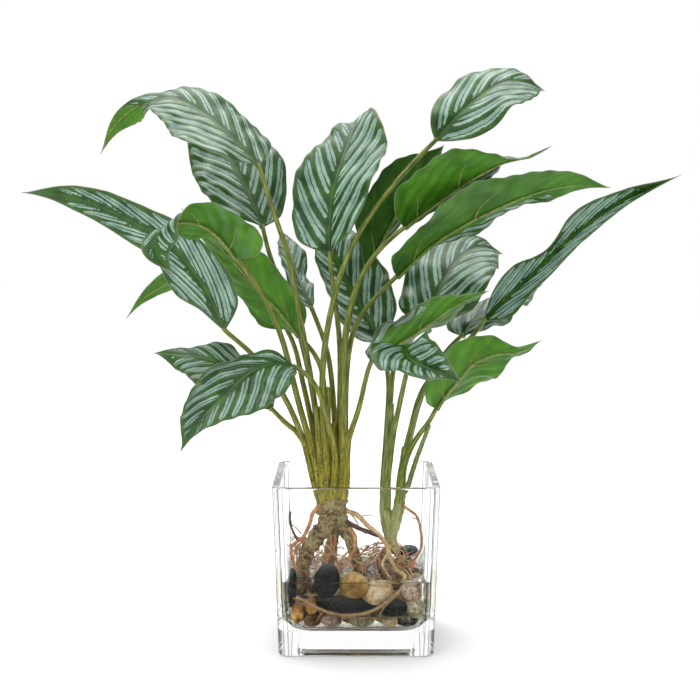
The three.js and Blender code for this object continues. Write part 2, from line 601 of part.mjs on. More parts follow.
function stoneGeometry(stone, seed, swell = 0) {
  const geometry = new THREE.IcosahedronGeometry(1, 1);
  const place = geometry.attributes.position;
  const point = new THREE.Vector3();
  for (let i = 0; i < place.count; i += 1) {
    point.fromBufferAttribute(place, i);
    const bump = 1.05 + 0.05 * Math.sin(3 * point.x + seed) * Math.cos(2 * point.z - seed)
      + 0.04 * Math.sin(2 * point.y + 2 * seed);
    point.set(
      point.x * (stone.half[0] * bump + swell),
      point.y * (stone.half[1] * bump + swell),
      point.z * (stone.half[2] * bump + swell),
    );
    place.setXYZ(i, point.x, point.y, point.z);
  }
  geometry.rotateY(stone.roll * degree);
  geometry.translate(...stone.at);
  return geometry;
}

// Assembly

const group = new THREE.Group();

function place(name, geometry, colour, roughness, opacity = 1) {
  const material = new THREE.MeshStandardMaterial({ color: colour, roughness, metalness: 0 });
  material.opacity = opacity;
  material.transparent = opacity < 1;
  const mesh = new THREE.Mesh(geometry, material);
  mesh.name = name;
  group.add(mesh);
}

place('vase', vaseGeometry(), colours.glass, 0.05, 0.3);

// The stones first, each cut clear of those already laid, then the roots between them
const laid = [];
const stoneHoles = [];
stones.forEach((stone, seed) => {
  let body = solidOf(stoneGeometry(stone, seed));
  for (const earlier of laid) body = body.subtract(earlier);
  body = largestPiece(body);
  laid.push(solidOf(stoneGeometry(stone, seed, stoneClearance)));
  stoneHoles.push(solidOf(stoneGeometry(stone, seed, waterClearance)));
  place(stone.name, geometryFrom(body), stone.colour, 0.45);
});
const stonesLaid = wasm.Manifold.union(laid);
const stonesHole = wasm.Manifold.union(stoneHoles);

const mainClump = largestPiece(clump(mainStalks, mainRoots, 0).subtract(stonesLaid));
const mainHole = clump(mainStalks, mainRoots, gap);
const sideClump = largestPiece(clump(sideStalks, sideRoots, 0).subtract(stonesLaid).subtract(mainHole));
place('clump_main', geometryFrom(mainClump), colours.stem, 0.6);
place('clump_side', geometryFrom(sideClump), colours.stem, 0.6);

const fill = solidOf(loft(cavityRings(waterLevel, gap).reverse()));
const rootsHole = clump([], [...mainRoots, ...sideRoots], waterClearance);
const water = largestPiece(fill.subtract(stonesHole).subtract(rootsHole));
place('water', geometryFrom(water, waterTolerance), colours.water, 0.05, 0.4);

leaves.forEach((leaf, seed) => {
  place(leaf.name, bladeGeometry(leaf, seed), colours.leaf, 0.4);
});

export default group;
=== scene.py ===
"""A striped foliage plant standing in a clear glass cube vase, with its roots spread over
river stones in clear water.

Every size in the tables is in millimetres. The origin is the middle of the vase's foot, +X runs
to the right of the front, +Y to the back and +Z up, as in the CAD part.
"""

import math

import bmesh
import bpy
import numpy as np
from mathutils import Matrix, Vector


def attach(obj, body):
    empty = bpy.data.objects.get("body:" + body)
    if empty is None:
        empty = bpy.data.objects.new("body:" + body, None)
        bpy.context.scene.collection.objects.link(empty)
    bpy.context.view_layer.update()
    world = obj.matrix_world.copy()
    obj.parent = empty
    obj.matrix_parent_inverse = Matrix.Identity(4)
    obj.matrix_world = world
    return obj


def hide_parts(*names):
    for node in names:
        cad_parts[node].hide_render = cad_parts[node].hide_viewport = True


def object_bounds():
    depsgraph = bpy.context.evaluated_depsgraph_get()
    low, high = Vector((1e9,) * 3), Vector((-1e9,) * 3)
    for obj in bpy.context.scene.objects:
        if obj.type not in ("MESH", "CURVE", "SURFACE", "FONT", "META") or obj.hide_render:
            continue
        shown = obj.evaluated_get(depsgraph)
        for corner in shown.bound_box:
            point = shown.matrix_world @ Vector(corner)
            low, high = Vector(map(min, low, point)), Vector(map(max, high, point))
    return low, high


MM = 0.001

# The vase: a square with rounded corners at every height, wider at the rim than at the foot
VASE = {
    "rim_width": 125, "foot_width": 116, "height": 127, "wall": 6, "floor": 16,
    "edge_radius": 9, "cavity_radius": 16, "rim_round": 1.4, "foot_round": 1.2,
    "recess_width": 88, "recess_depth": 3, "recess_radius": 8,
}
# Steps round a corner, down the inside's rounded floor, and round the foot and the lip
CORNER_STEPS = 10
FLOOR_STEPS = 12
FOOT_STEPS = 4
LIP_STEPS = 5
# How fast the rounding of the inside's corners grows where the floor rounds inwards
CORNER_GROWTH = 0.4
# How far in from an upright corner the painted dark lines stand: painted shade standing in for
# the darker room that each rounded corner bends into view
PAINTED_CORNER_LINES = (4.8, 7.9)

# The water's level, how far it laps into the glass so that no air film shows between them, and
# how its surface climbs the wall in a hollow curve: distance from the wall and height gained
WATER_LEVEL = 53
WATER_LAP = 0.15
WATER_CLIMB = ((12, 0), (8, 0.1), (5, 0.35), (3, 0.8), (1.6, 1.35), (0.7, 1.9), (0, 2.4))

# A blade's skin, with the rows and columns of its mesh, and the steps of its midrib
BLADE_THICKNESS = 0.5
BLADE_STATIONS = 100
BLADE_STRIPS = 20
SPINE_STEPS = 241
# The five places where a margin is given crowd towards the stalk by this power
PLACE_BIAS = 1.4
# The share of the midrib on both sides of a point over which its direction is taken
FRAME_REACH = 1 / 12
# The waves of the margins: their height, how many to a blade, and the width that gets them in full
RIPPLE = {"height": 2.4, "waves": 2.6, "full_reach": 12}
# The blade also rumples every 27 and every 15 mm: height, mm along and across for one radian
# of the wave, and how far the wave is shifted from leaf to leaf and from half to half
RUMPLES = ((0.9, 4.3, 9, 2.1, 1.3), (0.6, 2.4, -4, 1.1, 2.0))
RUMPLE_REACH = 20
# The pleats' height as a share of the distance between two pairs of stripes
PLEAT = 0.065
# The groove over the midrib: its depth and half its width
GROOVE = (0.35, 1.2)
# Stripes are drawn to full size on a half this wide, and no smaller than the least share of it
FULL_WIDTH, LEAST_SHARE = 26, 0.4
# How far a rib under the blade reaches into the blade's thickness
RIB_SINK = 0.1
# How far the blades stay inside the CAD model's box
BOX_ROOM = 0.1

# Stalks: radii at the foot and under the leaf, how deep they root below their lowest point,
# and the share of the way to the clump's middle that their feet are drawn in
STALK_RADII = (2.7, 1.7)
ROOTED = 18
DRAWN_IN = {"main": 0.55, "side": 0.0}
# Sides, stations and knobs of each kind of stem. A stem of the root tables is a trunk from
# the thick radius on, and the large clump's trunks are gnarled
THICK = 3
FINENESS = {
    "stalk": (16, 60, 0.03), "sheath": (20, 30, 0.05), "gnarled": (28, 70, 0.16),
    "trunk": (28, 70, 0.08), "root": (12, 70, 0.08), "fine root": (8, 30, 0.08),
    "curly root": (6, 18, 0.05), "rib": (8, 24, 0.0),
}
CURLS = 6

# Leaves. rib holds the midrib's points from the stalk to the tip, and face the way that the
# upper side looks at the base, the middle and the tip. left and right are the distances
# along the blade from the midrib to either margin at five places. fold and curl are the angles
# in degrees by which the left and the right half rise from the midrib and bend on
LEAVES = [
    {
        "name": "leaf_upper_left_arch",
        "rib": ((-73, 6, 363), (-97, 14, 387), (-117, 26, 404), (-144, 42, 417), (-171, 60, 412),
            (-193, 74, 398), (-207, 84, 375)),
        "face": ((0.5, -0.6, 0.7), (-0.2, -0.6, 0.8), (0.1, -0.9, -0.4)),
        "left": (32, 47, 37, 25, 11), "right": (35, 34, 27, 18, 8),
        "fold": (16, 0), "curl": (-8, -22),
    },
    {
        "name": "leaf_upper_left_back",
        "rib": ((-73, 42, 316), (-79, 47, 330), (-88, 58, 349), (-100, 72, 369), (-122, 98, 395),
            (-150, 122, 415)),
        "face": ((0.6, -0.5, 0.5), (0.0, -0.8, 0.6), (0.1, -0.6, 0.8)),
        "left": (24, 33, 35, 29, 16), "right": (29, 37, 41, 34, 18),
        "fold": (4, 4), "curl": (-22, -20),
    },
    {
        "name": "leaf_long_left",
        "rib": ((-98, -32, 240), (-113, -32, 272), (-138, -26, 304), (-162, -18, 318),
            (-193, -8, 332), (-225, 0, 341), (-255, 6, 343)),
        "face": ((-0.1, -1.0, -0.1), (-0.5, -0.8, 0.4), (-0.1, -1.0, 0.2)),
        "left": (9, 22, 17, 14, 9), "right": (21, 26, 18, 14, 11),
        "fold": (6, 20), "curl": (-24, -6),
    },
    {
        "name": "leaf_front_left_curl",
        "rib": ((-87, -54, 295), (-95, -67, 307), (-106, -84, 318), (-121, -100, 322),
            (-136, -113, 315), (-137, -118, 300), (-126, -116, 286)),
        "face": ((0.4, 0.5, 0.8), (-0.4, 0.4, 0.8), (-0.2, -0.9, 0.2)),
        "left": (27, 33, 27, 24, 17), "right": (9, 21, 23, 22, 12),
        "fold": (6, 14), "curl": (-22, -12),
    },
    {
        "name": "leaf_left_underside",
        "rib": ((-44, 15, 232), (-58, 14, 251), (-81, 9, 276), (-104, 3, 303), (-132, -7, 331)),
        "face": ((0.3, 0.8, 0.5), (0.2, 0.8, 0.5), (0.1, 0.7, 0.6)),
        "left": (16, 22, 24, 21, 12), "right": (9, 18, 21, 18, 10),
        "fold": (12, 12), "curl": (-15, -15),
    },
    {
        "name": "leaf_low_left_back",
        "rib": ((-54, 35, 236), (-74, 44, 258), (-96, 54, 273), (-125, 68, 280), (-154, 82, 270),
            (-175, 90, 257), (-190, 94, 240)),
        "face": ((-0.4, 0.7, 0.6), (0.1, 0.7, 0.7), (-0.3, 0.8, 0.5)),
        "left": (14, 20, 20, 15, 8), "right": (13, 18, 18, 14, 7),
        "fold": (10, 8), "curl": (-19, -23),
    },
    {
        "name": "leaf_low_left_lance",
        "rib": ((-64, -2, 177), (-80, 2, 193), (-99, 8, 208), (-124, 18, 216), (-159, 30, 218)),
        "face": ((0.4, -0.7, 0.5), (0.1, -0.5, 0.9), (-0.2, -0.8, 0.6)),
        "left": (8, 17, 25, 27, 14), "right": (15, 20, 25, 30, 13),
        "fold": (4, 4), "curl": (-28, -28),
    },
    {
        "name": "leaf_front_low_left",
        "rib": ((-46, -14, 212), (-63, -30, 215), (-79, -48, 210), (-94, -68, 197),
            (-109, -84, 183), (-125, -98, 159)),
        "face": ((0.4, -0.3, 0.9), (0.1, -0.6, 0.8), (-0.6, -0.5, 0.6)),
        "left": (16, 28, 33, 33, 16), "right": (13, 18, 20, 26, 20),
        "fold": (12, 12), "curl": (-15, -19),
    },
    {
        "name": "leaf_centre_tall",
        "rib": ((-20, -6, 296), (-20, -2, 316), (-18, 8, 341), (-13, 20, 362), (-6, 36, 382),
            (-1, 57, 397), (-2, 84, 401)),
        "face": ((-0.7, -0.7, 0.1), (-0.4, -0.7, 0.7), (-0.6, -0.4, 0.7)),
        "left": (24, 31, 30, 24, 13), "right": (27, 40, 46, 42, 24),
        "fold": (28, 17), "curl": (0, -5),
    },
    {
        "name": "leaf_narrow_middle",
        "rib": ((-34, 20, 253), (-41, 34, 266), (-48, 54, 280), (-55, 78, 297), (-63, 104, 313)),
        "face": ((0.0, -0.7, 0.7), (0.7, -0.3, 0.7), (-0.3, -0.6, 0.8)),
        "left": (8, 13, 17, 15, 8), "right": (5, 9, 12, 15, 11),
        "fold": (16, 14), "curl": (-12, -16),
    },
    {
        "name": "leaf_back_middle",
        "rib": ((19, 38, 226), (11, 45, 241), (-3, 58, 265), (-15, 74, 288), (-24, 93, 313),
            (-31, 116, 341)),
        "face": ((-0.6, -0.8, 0.0), (-0.6, -0.7, 0.2), (-0.2, -0.8, 0.6)),
        "left": (19, 25, 26, 21, 13), "right": (25, 33, 32, 27, 15),
        "fold": (4, 4), "curl": (-30, -28),
    },
    {
        "name": "leaf_top_right",
        "rib": ((59, -18, 381), (70, -14, 394), (87, -6, 410), (109, 4, 425), (128, 14, 427),
            (146, 24, 421)),
        "face": ((0.2, -1.0, 0.1), (-0.1, -0.7, 0.7), (0.6, -0.5, 0.7)),
        "left": (13, 21, 26, 29, 21), "right": (13, 25, 34, 37, 28),
        "fold": (3, 20), "curl": (-28, -8),
    },
    {
        "name": "leaf_dark_right_back",
        "rib": ((8, 36, 285), (16, 34, 299), (29, 29, 323), (43, 24, 348), (55, 15, 364),
            (67, 6, 379)),
        "face": ((-0.8, 0.4, 0.5), (-0.5, 0.7, 0.6), (0.0, 0.7, 0.7)),
        "left": (12, 22, 28, 26, 16), "right": (14, 28, 33, 29, 19),
        "fold": (22, 22), "curl": (-5, -5),
    },
    {
        "name": "leaf_upper_right",
        "rib": ((36, -22, 317), (47, -28, 326), (65, -40, 339), (85, -54, 353), (106, -66, 364),
            (123, -74, 367), (138, -80, 375)),
        "face": ((-0.5, 0.4, 0.8), (-0.2, 0.5, 0.8), (-0.4, 0.1, 0.9)),
        "left": (20, 20, 23, 22, 10), "right": (27, 42, 45, 41, 16),
        "fold": (20, 12), "curl": (-8, -15),
    },
    {
        "name": "leaf_right_wavy",
        "rib": ((31, 2, 279), (43, -2, 291), (60, -8, 306), (84, -16, 321), (108, -24, 333),
            (134, -32, 343), (161, -38, 348), (186, -42, 346)),
        "face": ((-0.6, 0.4, 0.7), (-0.2, 0.6, 0.8), (0.2, 0.8, 0.5)),
        "left": (12, 24, 26, 18, 11), "right": (38, 44, 52, 44, 21),
        "fold": (18, 3), "curl": (-12, -25),
    },
    {
        "name": "leaf_middle_right",
        "rib": ((52, 26, 239), (61, 34, 259), (72, 46, 278), (85, 60, 293), (102, 74, 300),
            (121, 86, 294)),
        "face": ((-0.5, -0.7, 0.5), (-0.3, -0.6, 0.7), (0.5, -0.3, 0.8)),
        "left": (25, 34, 37, 33, 21), "right": (30, 41, 44, 39, 24),
        "fold": (7, 12), "curl": (-18, -11),
    },
    {
        "name": "leaf_middle_rolled",
        "rib": ((11, -10, 216), (27, -16, 227), (44, -22, 238), (69, -34, 257), (83, -42, 265),
            (97, -48, 271)),
        "face": ((-0.4, 0.4, 0.8), (-0.3, 0.5, 0.8), (-0.1, 0.6, 0.8)),
        "left": (27, 38, 39, 32, 17), "right": (25, 34, 35, 29, 16),
        "fold": (20, 12), "curl": (-6, -20),
    },
    {
        "name": "leaf_front_right",
        "rib": ((37, -40, 230), (36, -56, 227), (39, -76, 223), (50, -96, 219), (61, -110, 216),
            (73, -120, 211)),
        "face": ((-0.2, -0.2, 1.0), (-0.5, -0.4, 0.8), (-0.3, -0.6, 0.7)),
        "left": (22, 25, 22, 19, 12), "right": (19, 26, 27, 22, 12),
        "fold": (26, 26), "curl": (0, 0),
    },
    {
        "name": "leaf_back_right",
        "rib": ((84, 34, 231), (92, 44, 241), (108, 58, 251), (130, 76, 260), (155, 96, 269)),
        "face": ((-0.4, -0.5, 0.8), (-0.2, -0.2, 1.0), (-0.2, -0.2, 1.0)),
        "left": (20, 26, 26, 21, 12), "right": (20, 26, 26, 21, 12),
        "fold": (6, 6), "curl": (-26, -23),
    },
    {
        "name": "leaf_long_right",
        "rib": ((98, 4, 245), (111, 8, 258), (127, 13, 272), (142, 18, 285), (157, 22, 299),
            (182, 28, 320), (214, 34, 340), (255, 40, 357)),
        "face": ((0.2, -1.0, 0.1), (-0.1, -0.9, 0.3), (0.1, -1.0, 0.2)),
        "left": (17, 21, 8, 17, 8), "right": (17, 15, 16, 14, 8),
        "fold": (38, 40), "curl": (12, 14),
    },
    {
        "name": "leaf_low_right_underside",
        "rib": ((61, -10, 179), (68, -16, 191), (78, -24, 204), (88, -32, 216), (103, -44, 224),
            (120, -54, 227), (134, -64, 236)),
        "face": ((-0.6, 0.6, 0.6), (0.3, 0.8, 0.6), (-0.1, 0.6, 0.8)),
        "left": (13, 25, 26, 21, 10), "right": (19, 24, 23, 21, 12),
        "fold": (20, 12), "curl": (-8, -19),
    },
]

# How deep a leaf's plain underside is drawn, 0 the brightest green and 1 the deepest: partly the
# leaf's own tone and partly painted shade, deepest on the leaves that stand in shadow
UNDERSIDE_TONE_AND_SHADE = {
    "leaf_dark_right_back": 0.9, "leaf_right_wavy": 0.6, "leaf_upper_right": 0.4,
    "leaf_left_underside": 0.1, "leaf_low_right_underside": 0.3, "leaf_back_right": 1.0,
}
USUAL_TONE_AND_SHADE = 0.3

# Where a blade is rolled or twisted over, so that its other side is seen: the hand (-1 left,
# 1 right, 0 both), from and to which share of the way to the margin, and from and to which
# part of the length
TURNED = {
    "leaf_upper_left_arch": [(0, 0.0, 1.0, 0.7, 1.0)],
    "leaf_upper_right": [(-1, 0.35, 1.0, 0.15, 0.8), (0, 0.0, 1.0, 0.86, 1.0)],
    "leaf_right_wavy": [(-1, 0.5, 1.0, 0.08, 0.75)],
    "leaf_middle_rolled": [(1, 0.6, 1.0, 0.0, 0.6)],
}

# How far the side veins lean along the midrib for each mm away from it, how far apart the
# pairs of stripes are across the veins, and how much of that half a pair covers
LEAN = (1.5, 10.5, 0.31)
LEANS = {
    "leaf_long_left": (5.0, 5.5, 0.4), "leaf_long_right": (5.0, 5.5, 0.43),
    "leaf_narrow_middle": (2.2, 8.0, 0.32), "leaf_low_left_back": (2.0, 8.5, 0.3),
    "leaf_right_wavy": (2.4, 8.0, 0.3), "leaf_upper_right": (2.4, 8.0, 0.3),
    "leaf_low_left_lance": (1.8, 8.5, 0.28), "leaf_front_low_left": (1.8, 8.5, 0.26),
    "leaf_upper_left_arch": (1.8, 9.0, 0.24), "leaf_upper_left_back": (1.6, 10.0, 0.3),
    "leaf_top_right": (1.8, 9.0, 0.31), "leaf_front_right": (1.2, 8.5, 0.34),
    "leaf_front_left_curl": (1.2, 9.0, 0.31), "leaf_middle_rolled": (2.2, 8.5, 0.3),
}


def linear(hex_colour):
    """A linear RGBA colour from an sRGB hex value."""
    channels = []
    for shift in (16, 8, 0):
        value = ((hex_colour >> shift) & 255) / 255
        channels.append(value / 12.92 if value <= 0.04045 else ((value + 0.055) / 1.055) ** 2.4)
    return (*channels, 1.0)


def add(tree, kind, inputs=None, stops=None, **settings):
    """Adds a node with its settings, its ramp colours, and values or links on its inputs."""
    node = tree.nodes.new(kind)
    for name, value in settings.items():
        setattr(node, name, value)
    for socket, value in (inputs or {}).items():
        if isinstance(value, bpy.types.NodeSocket):
            tree.links.new(value, node.inputs[socket])
        else:
            node.inputs[socket].default_value = value
    for index, (place, colour) in enumerate(stops or []):
        if index > 1:
            node.color_ramp.elements.new(place)
        node.color_ramp.elements[index].position = place
        node.color_ramp.elements[index].color = linear(colour)
    return node


# Curves

def catmull_rom(points, places, carried_on=True):
    """Points at places 0 to 1 of a smooth curve through the given points."""
    points = np.asarray(points, float)
    spans = len(points) - 1
    scaled = np.clip(places, 0, 1) * spans
    span = np.minimum(scaled.astype(int), spans - 1)
    w = (scaled - span)[:, None]
    first = 2 * points[0] - points[1] if carried_on else points[0]
    last = 2 * points[-1] - points[-2] if carried_on else points[-1]
    padded = np.vstack([first, points, last])
    p0, p1, p2, p3 = (padded[span + k] for k in range(4))
    v0 = (p2 - p0) / 2
    v1 = (p3 - p1) / 2
    cubic = 2 * p1 - 2 * p2 + v0 + v1
    square = 3 * p2 - 3 * p1 - 2 * v0 - v1
    return cubic * w ** 3 + square * w ** 2 + v0 * w + p1


def evenly(points, places):
    """Points of the same curve at places measured along its length, and the length."""
    fine = catmull_rom(points, np.linspace(0, 1, 401))
    run = np.concatenate([[0], np.cumsum(np.linalg.norm(np.diff(fine, axis=0), axis=1))])
    spots = np.clip(places, 0, 1) * run[-1]
    return np.stack([np.interp(spots, run, fine[:, k]) for k in range(3)], axis=1), run[-1]


def unit(rows):
    """The rows as vectors of length 1."""
    return rows / np.linalg.norm(rows, axis=-1, keepdims=True)


def smoothstep(low, high, values):
    """0 below low and 1 above high, with a smooth way between them."""
    w = np.clip((values - low) / (high - low), 0, 1)
    return w * w * (3 - 2 * w)


# Meshes

def grid_faces(rows, columns, start=0, closed=False, flipped=False):
    """Quads between neighbouring rows of points."""
    faces = []
    for i in range(rows - 1):
        for j in range(columns if closed else columns - 1):
            a = start + i * columns + j
            b = start + i * columns + (j + 1) % columns
            quad = (a, b, b + columns, a + columns)
            faces.append(quad[::-1] if flipped else quad)
    return faces


def piece(name, points, faces, finishes, face_finish=None, marks=None):
    """A smooth mesh object from points in millimetres, with its finishes and named marks."""
    mesh = bpy.data.meshes.new(name)
    mesh.from_pydata((np.asarray(points) * MM).tolist(), [], faces)
    for finish in finishes:
        mesh.materials.append(finish)
    if face_finish is not None:
        mesh.polygons.foreach_set("material_index", face_finish)
    mesh.polygons.foreach_set("use_smooth", [True] * len(mesh.polygons))
    for mark, values in (marks or {}).items():
        layer = mesh.attributes.new(mark, "FLOAT_VECTOR", "POINT")
        layer.data.foreach_set("vector", np.asarray(values, float).ravel())
    mesh.update()
    thing = bpy.data.objects.new(name, mesh)
    bpy.context.scene.collection.objects.link(thing)
    return thing


def tube(points, radii, sides, stations, knobs=0.0, seed=0.0, eased=0):
    """Points, faces and marks of a round stem through the points, closed at both ends."""
    places = np.linspace(0, 1, stations + 1)
    spine, length = evenly(points, places)
    for _ in range(eased):
        spine[1:-1] = spine[1:-1] / 2 + (spine[:-2] + spine[2:]) / 4
    along = unit(np.gradient(spine, axis=0))
    first = np.cross(along[0], (0.3, 0.9, 0.2))
    normals = [first / np.linalg.norm(first)]
    for way in along[1:]:
        normal = normals[-1] - way * normals[-1].dot(way)
        normals.append(normal / np.linalg.norm(normal))
    normals = np.array(normals)
    binormals = np.cross(along, normals)
    radius = np.interp(places, np.linspace(0, 1, len(radii)), radii)
    turn = np.arange(sides) / sides * 2 * math.pi
    run = (places * length)[:, None]
    # Knobs follow one another every 7 mm on two sides and every 15 mm on one
    uneven = np.sin(run * 0.9 + 2 * turn + seed) + np.sin(run * 0.43 - turn + 2.3 * seed)
    out = radius[:, None] * (1 + knobs * 0.5 * uneven)
    rings = (spine[:, None] + normals[:, None] * (out * np.cos(turn))[..., None]
             + binormals[:, None] * (out * np.sin(turn))[..., None])
    # Both ends close in a blunt point
    ends = [spine[0] - along[0] * radius[0] * 0.5, spine[-1] + along[-1] * radius[-1] * 0.8]
    body = np.vstack([rings.reshape(-1, 3), ends])
    faces = grid_faces(stations + 1, sides, closed=True)
    last = stations * sides
    for j in range(sides):
        faces.append((len(body) - 2, (j + 1) % sides, j))
        faces.append((len(body) - 1, last + j, last + (j + 1) % sides))
    marks = np.stack(np.broadcast_arrays(run, turn * radius[:, None], seed * 37.0), axis=-1)
    marks = np.vstack([marks.reshape(-1, 3), [[0, 0, seed], [length, 0, seed]]])
    return body, faces, marks


def bundle(name, parts, finish):
    """One object from several stems."""
    points, faces, marks = [], [], []
    count = 0
    for body, body_faces, body_marks in parts:
        faces.extend(tuple(k + count for k in face) for face in body_faces)
        points.append(body)
        marks.append(body_marks)
        count += len(body)
    return piece(name, np.vstack(points), faces, [finish], marks={"stem_mm": np.vstack(marks)})


# Leaf blades

def blade_surface(leaf, seed):
    """A function that gives points of the leaf's middle surface, and the midrib's upward ways."""
    fine = np.linspace(0, 1, SPINE_STEPS)
    spine, length = evenly(leaf["rib"], fine)
    before, _ = evenly(leaf["rib"], np.clip(fine - FRAME_REACH, 0, 1))
    after, _ = evenly(leaf["rib"], np.clip(fine + FRAME_REACH, 0, 1))
    along = unit(after - before)
    faces = np.asarray(leaf["face"], float)
    place = fine * 2
    half = np.minimum(place.astype(int), 1)
    share = smoothstep(0, 1, place - half)[:, None] * 0.5 + (place - half)[:, None] * 0.5
    up = faces[half] * (1 - share) + faces[half + 1] * share
    up = unit(up - along * np.sum(up * along, axis=1, keepdims=True))
    side = np.cross(along, up)
    # A margin stays a little off the midrib, more at the stalk than at the tip
    least = np.where(fine < 0.5, 0.8, 0.25)
    margins = []
    for hand in ("left", "right"):
        distances = np.array([[0, *leaf[hand], 0]], float).T
        reach = catmull_rom(distances, fine ** (1 / PLACE_BIAS), carried_on=False)[:, 0]
        margins.append(np.maximum(reach, least))
    widest = [max(margins[0]), max(margins[1])]
    # On narrow blades the stripes start and end closer to the midrib and the margin
    narrow = min(1.0, max(LEAST_SHARE, max(widest) / FULL_WIDTH))
    slant, apart, _ = LEANS.get(leaf["name"], LEAN)
    period = apart * math.hypot(1, slant)

    def at(t, s):
        """t runs from stalk to tip, and s from -1 at the left margin to 1 at the right."""
        hand = (s > 0).astype(int)
        centre, across, upward = [
            np.stack([np.interp(t, fine, rows[:, k]) for k in range(3)], axis=-1)
            for rows in (spine, side, up)
        ]
        reach = np.where(hand == 0, np.interp(t, fine, margins[0]), np.interp(t, fine, margins[1]))
        fold = np.radians(np.where(hand == 0, *leaf["fold"]))
        curl = np.radians(np.where(hand == 0, *[bend or 0.01 for bend in leaf["curl"]]))
        share = np.abs(s)
        out = (np.sin(fold + curl * share) - np.sin(fold)) / curl
        rise = (np.cos(fold) - np.cos(fold + curl * share)) / curl
        swing = RIPPLE["height"] * share ** 1.5 * np.minimum(1, reach / RIPPLE["full_reach"])
        wave = swing * np.sin(2 * math.pi * RIPPLE["waves"] * t + seed * 1.7 + hand * 0.9)
        # Where the side vein through this point leaves the midrib, counted in pairs of stripes
        distance = share * reach
        bow = distance ** 2 / np.where(hand == 0, *widest)
        run = t * length
        leaned = run - slant * (0.6 * distance + 0.45 * bow)
        start = leaned / (1 + 0.7 * slant * distance / length)
        pair = start / period + 0.5 * hand + seed * 0.37
        # Pleats follow the pairs and die out towards the midrib and the margin
        pleat = PLEAT * apart * np.cos(2 * math.pi * pair) * smoothstep(1, 7, distance)
        pleat = pleat * smoothstep(0.5, 6, reach - distance)
        groove = -GROOVE[0] * np.exp(-(distance / GROOVE[1]) ** 2)
        rumple = 0
        for height, along_mm, across_mm, leaf_shift, hand_shift in RUMPLES:
            phase = run / along_mm + distance / across_mm + leaf_shift * seed + hand_shift * hand
            rumple = rumple + height * np.sin(phase)
        rumple = rumple * share ** 1.3 * np.minimum(1, reach / RUMPLE_REACH)
        lift = rise * reach + wave + pleat + groove + rumple
        points = centre + across * (np.sign(s) * out * reach)[..., None] + upward * lift[..., None]
        to_margin = reach - distance
        own_mm = run, np.sign(s) * distance, np.full_like(t, seed * 50.0)
        marks = {
            "stripe_place": np.stack([pair, distance / narrow, to_margin / narrow], axis=-1),
            "blade_mm": np.stack(own_mm, axis=-1),
        }
        return points, upward, marks

    return at, up


def blade_ribs(leaf):
    """The raised ribs: places along and across the blade, radii, and 1 above it or -1 below."""
    ribs = [(np.linspace(0, 0.86, 12), np.zeros(12), (1.5, 1.2, 0.9, 0.35), -1)]
    # A pair of side ribs near the base and one near the middle
    q = np.linspace(0, 1, 8)
    for start, share in ((0.1, 0.5), (0.42, 0.42)):
        for hand in (-1, 1):
            ribs.append((start + 0.15 * q ** 1.3, hand * share * q, (0.9, 0.6, 0.2), -1))
    # Where the whole blade turns over, the midrib is raised on its other side
    for hand, _, _, begin, _ in TURNED.get(leaf["name"], []):
        if hand == 0:
            ribs.append((np.linspace(begin, 0.97, 8), np.zeros(8), (0.8, 0.7, 0.4), 1))
    return ribs


